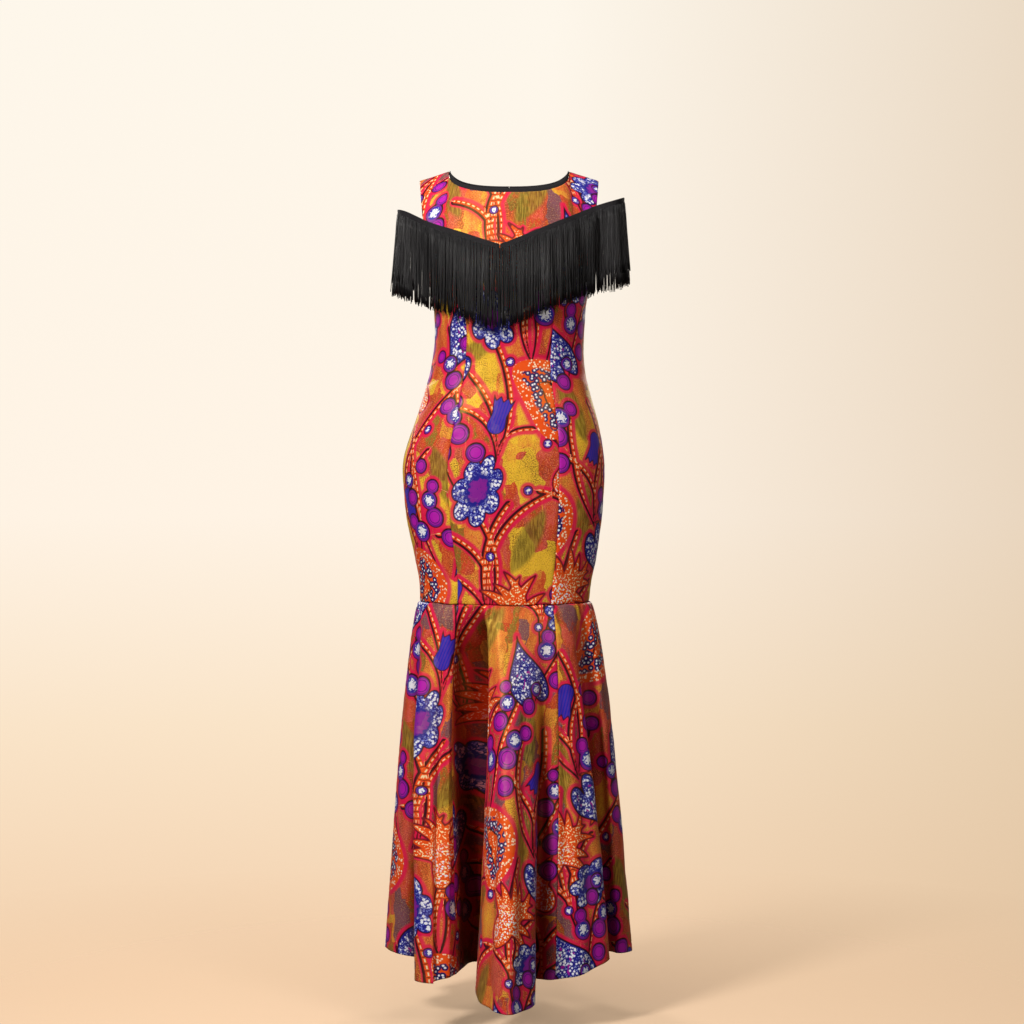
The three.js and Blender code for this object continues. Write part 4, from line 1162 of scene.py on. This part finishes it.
def paint_berries(m, place, colour):
    distance, ratio, low = m.field("berry_d"), m.field("berry_r"), m.field("berry_y")
    ring = m.both(m.span(ratio, 0.52, 0.56), m.inside(ratio, 0.64, 0.03))
    plum = m.paint(rgb(178, 20, 170), rgb(92, 12, 120), ring)
    plum = m.paint(plum, rgb(112, 24, 140), m.span(ratio, 0.7, 0.76))
    blob = m.inside(m.uneven(ratio, 1.6, m.noise(place, 0.28)), 0.44, 0.05)
    blue = m.paint(rgb(40, 44, 160), WHITE, blob)
    blue = m.paint(blue, rgb(122, 30, 150), m.span(ratio, 0.7, 0.76))
    berry = m.paint(plum, blue, m.span(m.field("berry_kind"), 0.4, 0.6))
    berry = m.paint(berry, INK, m.both(m.span(ratio, 0.84, 0.9), m.span(low, -0.2, 0.3)))
    colour = m.paint(colour, INK, m.inside(distance, 0.8))
    return m.paint(colour, berry, m.inside(distance, -0.8))


def printed_cotton():
    m = Shader("printed_cotton")
    place = m.field("cloth", "Vector")
    colour = ground(m, place)
    colour = paint_olives(m, place, colour)
    colour = paint_halos(m, colour)
    colour = paint_stems(m, colour)
    colour = paint_plumes(m, place, colour)
    colour = paint_leaves(m, place, colour)
    colour = paint_flowers(m, place, colour)
    colour = paint_pods(m, place, colour)
    colour = paint_buds(m, colour)
    colour = paint_berries(m, place, colour)
    # Painted shade: the cloth darkens to a deep red where it lies deep in the flounce's folds.
    colour = m.paint(colour, PAINTED_FOLD_SHADE, m.both(m.field("hollow"), 0.92), "MULTIPLY")
    weave = m.streaks(place, 1.6, 0.5)
    normal = m.bump(weave, 0.25, 0.0004)
    normal = m.bump(m.noise(place, 0.045, 3.0), 0.35, 0.003, normal)
    return m.finish(
        normal,
        Base_Color=colour,
        Roughness=0.44,
        Specular_IOR_Level=m.span(patches(m, place), 0.5, 0.2, 0.35, 0.9),
        Specular_Tint=rgb(255, 214, 96),
        Sheen_Weight=0.06,
        Sheen_Roughness=0.4,
        Sheen_Tint=rgb(255, 196, 90),
    )


def black_cotton():
    m = Shader("black_cotton")
    place = m.node("TexCoord").outputs["Object"]
    weave = m.streaks(place, 1400, 1400, 1.0)
    colour = m.paint(rgb(22, 20, 23), rgb(36, 34, 37), m.span(weave, 0.4, 0.6))
    bump = m.bump(weave, 0.3, 0.0003)
    return m.finish(bump, Base_Color=colour, Roughness=0.9, Specular_IOR_Level=0.25)


def black_yarn():
    m = Shader("black_yarn")
    place = m.node("TexCoord").outputs["Object"]
    twist = m.bump(m.streaks(place, 900, 900, 1.0), 0.4, 0.0004)
    return m.finish(twist, Base_Color=rgb(16, 14, 17), Roughness=0.5, Specular_IOR_Level=0.42)


def black_metal():
    m = Shader("black_metal")
    return m.finish(Base_Color=rgb(26, 26, 28), Metallic=0.75, Roughness=0.36)


# ---------- The neck facing ----------
NECK_BAND = {
    "thickness": 1.0, "above": 9, "fade": 0.8, "clear": 1.0, "shoulder_clear": 1.1, "lean": 0.6,
    "out_s": 0.07, "down_level": 0.035, "columns": 120, "gap_s": 0.0006,
}
FACINGS = table(
    "name half start end sewn_to",
    ("neck_facing_front", "front", -NECK_S, NECK_S, FRONT),
    ("neck_facing_back_left", "back", -NECK_S, -NECK_BAND["gap_s"], BACK_LEFT),
    ("neck_facing_back_right", "back", NECK_BAND["gap_s"], NECK_S, BACK_RIGHT),
)


def body_normal(half, s, level):
    step = 1e-3
    side = -np.sign(s + 1e-9) * step
    here = body_point(half, s, level)
    across = (body_point(half, s + side, level) - here) * np.sign(side)[..., None]
    up = here - body_point(half, s, level - step)
    return unit(np.cross(across, up) * (1 if half == "front" else -1))


def facing(row, material):
    """The strip of a neck facing that shows past the neck's edge, with its flat size and its area."""
    half, out = row["half"], (-1 if row["half"] == "front" else 1)
    share = (row["end"] - row["start"]) / (2 * NECK_S)
    s = np.linspace(row["start"], row["end"], 2 * round(NECK_BAND["columns"] / 2 * share) + 1)
    away = (np.abs(s) / NECK_S) ** 2
    inset = (CLOTH + mix(NECK_BAND["clear"], NECK_BAND["shoulder_clear"], away**2))[:, None]
    low_s = s * (1 + NECK_BAND["out_s"] * away)
    low_level = 2 - NECK_BAND["down_level"] * (1 - away)
    low_normal = body_normal(half, low_s, low_level)
    low = body_point(half, low_s, low_level) - low_normal * (inset + NECK_BAND["lean"])
    edge, normal = top_point(half, s), body_normal(half, s, 2 + 0 * s)
    beyond = np.cross(normal, unit(np.gradient(edge, axis=0)))
    beyond *= np.where(beyond[:, 2:] - 0.4 * out * beyond[:, 1:2] < 0, -1, 1)
    above = beyond * NECK_BAND["above"] * (1 - NECK_BAND["fade"] * away**4)[:, None]
    base = edge - normal * inset
    grid = np.stack([low, mix(low, base, 0.5), base, base + above * 0.5, base + above])
    if half == "back":
        grid = grid[:, ::-1]
    piece = shell(f"{row['name']}_band", grid, grid_normals(grid), NECK_BAND["thickness"], material)
    flat = float(along(grid, 1)[:, -1].max()) * METRE, float(along(grid, 0)[-1].max()) * METRE
    return piece, flat, area_of(grid)


# ---------- The fringe ----------
TAPE = {
    "height": 10, "thickness": 1.8, "clear": 0.9, "point_gap": 1, "samples": 12, "stations": 161,
    "steepest": 0.35,
}
# The tape's section: how far out each corner is, in thicknesses, and how far down, in tenths.
TAPE_SECTION = ((0, 0.6), (0.7, 0), (1, 0.8), (1, 3), (0.85, 5), (1, 7), (1, 9.2), (0.7, 10), (0, 9.4))
MITRE = 14  # the length of tape that is drawn in at each end
YARN = {
    "length": 140, "radius": 0.95, "pitch": 1.9, "layers": 3, "uneven": 4, "sway": 5, "steps": 9,
    "layer_lift": 1.2, "thin_to": 0.8, "clear": 1.2, "steepest": 0.4, "swing": 0.7, "swing_out": 1.2,
    "jitter": 0.3, "bow": 1.6, "tucked": 1.5, "root_lift": 0.35, "root_clear": 0.6,
}
SHORTER = (0, 3, 22)  # how much shorter each layer of yarns is than the front one
BUNCH = {"width": 5.2, "pull": 0.5, "lift": 3.2, "stagger": 0.4}
# The waves in which the yarns sway: the shift from layer to layer, and the share of the sway.
CLUMPS = table("shift wave share", (57, 23, 0.55), (31, 9, 0.3))
ARM = {"push": 8, "from_x": 150, "over_x": 30, "power": 0.7}


def body_cast():
    """The dress's outside, to find how far out it lies at a place."""
    trees = {}
    for half in ("front", "back"):
        s = np.linspace(-1, 1, 121)[None, :]
        level = np.concatenate([np.linspace(0.2, 1, 80), np.linspace(1, 2, 71)[1:]])[:, None]
        grid = body_point(half, s, level)
        trees[half] = BVHTree.FromPolygons(grid.reshape(-1, 3).tolist(), quads(*grid.shape[:2]))
    return trees


def met_at(trees, outward, x, z):
    """The place and outward normal where the dress is met from outside, or nothing beside it."""
    half = "front" if outward < 0 else "back"
    place, normal, _, _ = trees[half].ray_cast((x, outward * 600, z), (0, -outward, 0))
    if place is None:
        return None, None
    normal = np.array(normal)
    return place.y, normal * np.sign(normal[1] * outward or 1)


def tape_route(trees, side):
    """Points and normals from the point of the V, round the arm, to the centre back."""
    points, normals = [], []
    hand = "left" if side < 0 else "right"

    def on_body(half, share):
        line, outward = TAPE_V[half], (-1 if half == "front" else 1)
        x = mix(line["point_x"] + side * TAPE["point_gap"], line[f"{hand}_x"], share)
        z = mix(line["point_z"], line[f"{hand}_z"], share ** line["bend"])
        y, normal = met_at(trees, outward, x, z)
        if y is None:
            return
        points.append(np.array([x, y, z]) + normal * TAPE["clear"])
        normals.append(normal)

    for i in range(TAPE["samples"] + 1):
        on_body("front", i / TAPE["samples"])
    for x, y, z in ARM_ROUND[hand]:
        points.append(np.array([x, y, z], float))
        normals.append(unit(np.array([x - side * ARM_CENTRE_X, y, 0], float)))
    for i in range(TAPE["samples"], -1, -1):
        on_body("back", i / TAPE["samples"])
    points, normals = np.array(points), np.array(normals)
    return points, normals, along(points, 0)


def curve_at(values, gone, at):
    """Places on a smooth curve through values that lie gone along it."""
    rows = [{"at": g, "x": p[0], "y": p[1], "z": p[2]} for g, p in zip(gone, values)]
    return np.stack([column_at(rows, "at", c, at) for c in "xyz"], -1)


def tape_frame(route, at):
    """Places on the tape's upper edge with their outward and downward directions."""
    points, normals, gone = route
    point = curve_at(points, gone, at)
    before, after = (curve_at(points, gone, np.clip(at + step, 0, gone[-1])) for step in (-1, 1))
    normal = unit(curve_at(normals, gone, at))
    down = unit(np.cross(after - before, normal))
    down *= np.where(down[..., 2:] > 0, -1, 1)
    return point, normal, down


def kept_outside(trees, point, outward, clear):
    """The point, moved out where it would lie nearer to the dress than clear."""
    y, normal = met_at(trees, outward, point[0], point[2])
    if y is None:
        return point
    least = outward * y + clear / max(TAPE["steepest"], abs(normal[1]))
    return np.array([point[0], outward * max(outward * point[1], least), point[2]])


def mitred(values, at, route):
    """Brings the ends of the tape's lower corners, or of the yarns, together at the two points."""
    start_x, end_x, length = route[0][0][0], route[0][-1][0], route[2][-1]
    values = values.copy()
    for gone, first, target in ((at, 0, start_x), (length - at, -1, end_x)):
        share = np.clip(1 - gone / MITRE, 0, 1)
        values[:, 0] -= (values[first, 0] - target) * share
    return values


def tape(name, trees, route, material):
    """The fringe's woven header, with a soft rib along each edge."""
    length = route[2][-1]
    at = np.linspace(0, length, TAPE["stations"])
    point, normal, down = tape_frame(route, at)
    section = []
    for out, drop in TAPE_SECTION:
        place = point + normal * out * TAPE["thickness"] + down * drop * TAPE["height"] / 10
        clear = TAPE["clear"] + out * TAPE["thickness"]
        corner = zip(mitred(place, at, route), normal)
        section.append([kept_outside(trees, p, np.sign(n[1]), clear) for p, n in corner])
    ring = np.array(section)  # corner, station, xyz
    corners, stations = ring.shape[:2]
    faces = []
    for c in range(corners):
        d = (c + 1) % corners
        for i in range(stations - 1):
            a, b = c * stations + i, d * stations + i
            faces.append((a, a + 1, b + 1, b))
    faces.append([c * stations for c in range(corners)])
    faces.append([c * stations + stations - 1 for c in reversed(range(corners))])
    piece = new_mesh(name, ring.reshape(-1, 3), faces, material)
    turn_outward(piece)
    return piece, (TAPE["height"] * METRE, float(length) * METRE)


def turn_outward(piece):
    """All the faces of a closed piece are made to look outward."""
    mesh = bmesh.new()
    mesh.from_mesh(piece.data)
    bmesh.ops.recalc_face_normals(mesh, faces=mesh.faces)
    mesh.to_mesh(piece.data)
    mesh.free()


def strand_line(trees, root, normal, length, sway, lift):
    """A yarn's middle line: it hangs straight down from the fullest place that it passes."""
    outward = float(np.sign(normal[1]))
    over_arm = float(np.clip((abs(root[0]) - ARM["from_x"]) / ARM["over_x"], 0, 1))
    depth = outward * root[1]
    line = []
    for fall in np.linspace(0, 1, YARN["steps"]):
        z = root[2] - length * fall
        if over_arm < 1 and fall > 0:
            y, met = met_at(trees, outward, root[0], z)
            if y is not None:
                clear = YARN["radius"] + YARN["clear"] + lift
                depth = max(depth, outward * y + clear / max(YARN["steepest"], abs(met[1])))
        push = ARM["push"] * over_arm * fall ** ARM["power"]
        bow = fall ** YARN["bow"]
        line.append((
            root[0] + normal[0] * push + sway[0] * bow,
            outward * (depth + abs(sway[1]) * bow * 0.5) + normal[1] * push,
            z,
        ))
    return np.array(line)


def yarns(name, trees, route, layer, material, random):
    """One layer of a side's yarns, each a thin tapering tube that ends in a cut."""
    length = route[2][-1]
    count = int(length / YARN["pitch"])
    jitter = random.uniform(-YARN["jitter"], YARN["jitter"], count)
    at = (np.arange(count) + 0.5 + jitter) * length / count
    point, normal, down = tape_frame(route, np.clip(at, 1, length - 1))
    clump = sum(
        wobble(at + layer * row["shift"], row["wave"]) * YARN["sway"] * row["share"] for row in CLUMPS
    )
    here, after = (curve_at(route[0], route[2], np.minimum(at + step, length)) for step in (0, 1))
    stagger = BUNCH["stagger"] * layer
    bunch = np.floor(at / BUNCH["width"] + stagger)
    pulled = ((bunch + 0.5 - stagger) * BUNCH["width"] - at) * BUNCH["pull"] * (after - here)[:, 0]
    bunch_lift = random.uniform(0, BUNCH["lift"], int(bunch.max()) + 1)[bunch.astype(int)]
    lift = (YARN["layers"] - 1 - layer) * YARN["layer_lift"]
    raised = lift * YARN["root_lift"]
    roots = point + normal * (TAPE["thickness"] / 2 + raised) + down * (TAPE["height"] - YARN["tucked"])
    roots = mitred(roots, at, route)
    clear = TAPE["clear"] + YARN["root_clear"] + raised
    rings, faces = [], []
    angles = np.arange(3) * 2 * math.pi / 3
    for i in range(count):
        root = kept_outside(trees, roots[i], np.sign(normal[i][1]), clear)
        fall = YARN["length"] + YARN["uneven"] * random.uniform(-1, 0.6) - SHORTER[layer]
        swing = random.normal(0, YARN["swing"])
        sway = (clump[i] + pulled[i] + swing, random.normal(0, YARN["swing_out"]))
        line = strand_line(trees, root, normal[i], fall, sway, lift + bunch_lift[i])
        radius = YARN["radius"] * np.linspace(1, YARN["thin_to"], len(line))
        turn = random.uniform(0, 2)
        first = len(rings) * 3 * YARN["steps"]
        x = line[:, None, 0] + radius[:, None] * np.cos(angles + turn)
        y = line[:, None, 1] + radius[:, None] * np.sin(angles + turn)
        rings.append(np.stack([x, y, line[:, None, 2] + 0 * x], -1))
        for k in range(len(line) - 1):
            for a in range(3):
                b, low = (a + 1) % 3, first + 3 * k
                faces.append((low + a, low + 3 + a, low + 3 + b, low + b))
        last = first + 3 * (len(line) - 1)
        faces += [(first, first + 1, first + 2), (last + 2, last + 1, last)]
    return new_mesh(name, np.concatenate([r.reshape(-1, 3) for r in rings]), faces, material)


# ---------- The garment ----------
def carried(piece, slot, *nodes):
    """A piece of the dress that takes the place of the model's nodes."""
    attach(piece, ROOT)
    if nodes:
        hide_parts(*nodes)
    return piece


def build_dress(cotton, black, yarn):
    for row in PANELS:
        piece, flat, area = printed_piece(f"{row['name']}_panel", body_panel, row, cotton)
        carried(piece, "printed_cotton", row["name"])
    for row in GORES:
        piece, flat, area = printed_piece(f"{row['name']}_gore", flounce_panel, row, cotton)
        carried(piece, "printed_cotton", row["node"])
    for row in FACINGS:
        piece, flat, area = facing(row, black)
        carried(piece, "black_cotton", row["name"])
    build_fringe(black, yarn)


def build_fringe(black, yarn):
    trees = body_cast()
    random = np.random.default_rng(SEED)
    for side, name in ((-1, "fringe_left"), (1, "fringe_right")):
        route = tape_route(trees, side)
        band, flat = tape(f"{name}_tape", trees, route, black)
        carried(band, "black_cotton", name)
        layers = [
            yarns(f"{name}_yarns_{layer}", trees, route, layer, yarn, random)
            for layer in range(YARN["layers"])
        ]
        for piece in layers:
            carried(piece, "black_yarn", name)


def build_zip(metal):
    """The slider and the pull keep the model's solids."""
    for piece in bpy.data.objects:
        if piece.get("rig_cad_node") in ("zip_slider", "zip_pull"):
            for material_slot in piece.material_slots:
                material_slot.material = metal


# ---------- The studio ----------
SURROUND = 7  # radius of the backdrop, in metres
SURROUND_STOPS = (
    (0.0, rgb(242, 207, 171)), (0.26, rgb(250, 228, 200)),
    (0.48, rgb(255, 243, 228)), (1.0, rgb(254, 247, 235)),
)
FLOOR = {"z": -1.47, "radius": 1.7, "fades_from": 0.3, "cover": 0.65, "colour": (0.9, 0.66, 0.46, 1)}
CAMERA = {"place": (0.005, -4.0, -0.595), "lens": 80.4, "sensor": 36}
LIGHTS = table(
    "name place target size watts colour",
    ("key", (-1.7, -2.3, 1.25), (0, 0, -0.4), 0.7, 108, (1, 0.97, 0.93)),
    ("fill", (1.7, -2.5, 0.9), (0, 0, -0.4), 0.9, 26, (1, 0.95, 0.9)),
    ("top", (0, -0.3, 1.7), (0, 0, -0.4), 1.0, 14, (1, 0.98, 0.95)),
    ("back_left", (-1.6, 2.9, 0.9), (0, 0, -0.5), 0.9, 46, (1, 0.95, 0.9)),
    ("back_right", (1.4, 2.9, 0.6), (0, 0, -0.6), 0.9, 30, (1, 0.93, 0.86)),
)
WORLD = {"colour": rgb(255, 240, 222), "strength": 0.08}


def set_piece(name, grid, material, flip=False):
    """A piece of the studio, given in metres. The camera sees it, and it lights and shades nothing."""
    piece = new_mesh(name, grid.reshape(-1, 3) / METRE, quads(*grid.shape[:2], flip=flip), material)
    piece.visible_diffuse = piece.visible_glossy = piece.visible_shadow = False
    return piece


def backdrop():
    """A seamless surround that shades from cream at the top to peach below, with painted shade that
    darkens it towards its right side.
    """
    m = Shader("backdrop")
    split = m.node("SeparateXYZ", {"Vector": m.node("NewGeometry").outputs["Position"]})
    colour = m.ramp(m.span(split.outputs["Z"], -2.75, 1.7), SURROUND_STOPS)
    # Painted shade: the surround darkens towards positive x, on the camera's right.
    side = m.span(split.outputs["X"], 0.2, 2.4)
    colour = m.paint(colour, rgb(214, 186, 152), m.both(side, 0.55))
    emission = m.node("Emission", {"Color": colour, "Strength": 1.0})
    m.node("OutputMaterial", {"Surface": emission.outputs[0]})
    rise = np.linspace(-math.pi / 2, math.pi / 2, 33)[:, None]
    turn = np.linspace(0, 2 * math.pi, 65)[None, :]
    x, y = np.cos(rise) * np.cos(turn), np.cos(rise) * np.sin(turn)
    ball = np.stack([x, y, np.sin(rise) + 0 * turn], -1)
    surround = set_piece("backdrop", ball * SURROUND, m.material)
    surround.location = CAMERA["place"][0], 0, CAMERA["place"][2]


def floor():
    """A pale floor that fades into the backdrop and is clear from below."""
    m = Shader("floor")
    seen = m.node("NewGeometry")
    split = m.node("SeparateXYZ", {"Vector": seen.outputs["Position"]})
    x, y = split.outputs["X"], split.outputs["Y"]
    gone = m.math("SQRT", m.math("ADD", m.both(x, x), m.both(y, y)))
    fade = m.span(gone, FLOOR["fades_from"], FLOOR["radius"], FLOOR["cover"], 0.0)
    above = m.math("SUBTRACT", 1.0, seen.outputs["Backfacing"])
    pale = m.node("BsdfDiffuse", {"Color": FLOOR["colour"]}).outputs[0]
    clear = m.node("BsdfTransparent").outputs[0]
    blend = m.node("MixShader", {0: m.both(fade, above), 1: clear, 2: pale})
    m.node("OutputMaterial", {"Surface": blend.outputs[0]})
    reach = np.linspace(1e-4, 1, 12)[:, None]
    turn = np.linspace(0, 2 * math.pi, 65)[None, :]
    disc = np.stack([reach * np.cos(turn), reach * np.sin(turn), 0 * reach * turn], -1)
    set_piece("floor", disc * FLOOR["radius"], m.material, flip=True).location.z = FLOOR["z"]


def area_light(row):
    light = bpy.data.lights.new(row["name"], "AREA")
    light.shape, light.size = "DISK", row["size"]
    light.energy, light.color = row["watts"], row["colour"]
    lamp = bpy.data.objects.new(row["name"], light)
    lamp.location = row["place"]
    towards = Vector(row["target"]) - Vector(row["place"])
    lamp.rotation_euler = towards.to_track_quat("-Z", "Y").to_euler()
    bpy.context.scene.collection.objects.link(lamp)


def studio():
    backdrop()
    floor()
    for row in LIGHTS:
        area_light(row)
    world = bpy.data.worlds.new("studio")
    world.use_nodes = True
    sky = world.node_tree.nodes["Background"].inputs
    sky["Color"].default_value, sky["Strength"].default_value = WORLD["colour"], WORLD["strength"]
    scene = bpy.context.scene
    scene.world = world
    scene.view_settings.view_transform = "Standard"
    camera = bpy.data.cameras.new("camera")
    camera.lens, camera.sensor_width = CAMERA["lens"], CAMERA["sensor"]
    eye = bpy.data.objects.new("camera", camera)
    eye.location, eye.rotation_euler = CAMERA["place"], (math.pi / 2, 0, 0)
    scene.collection.objects.link(eye)
    scene.camera = eye


build_dress(printed_cotton(), black_cotton(), black_yarn())
build_zip(black_metal())
studio()
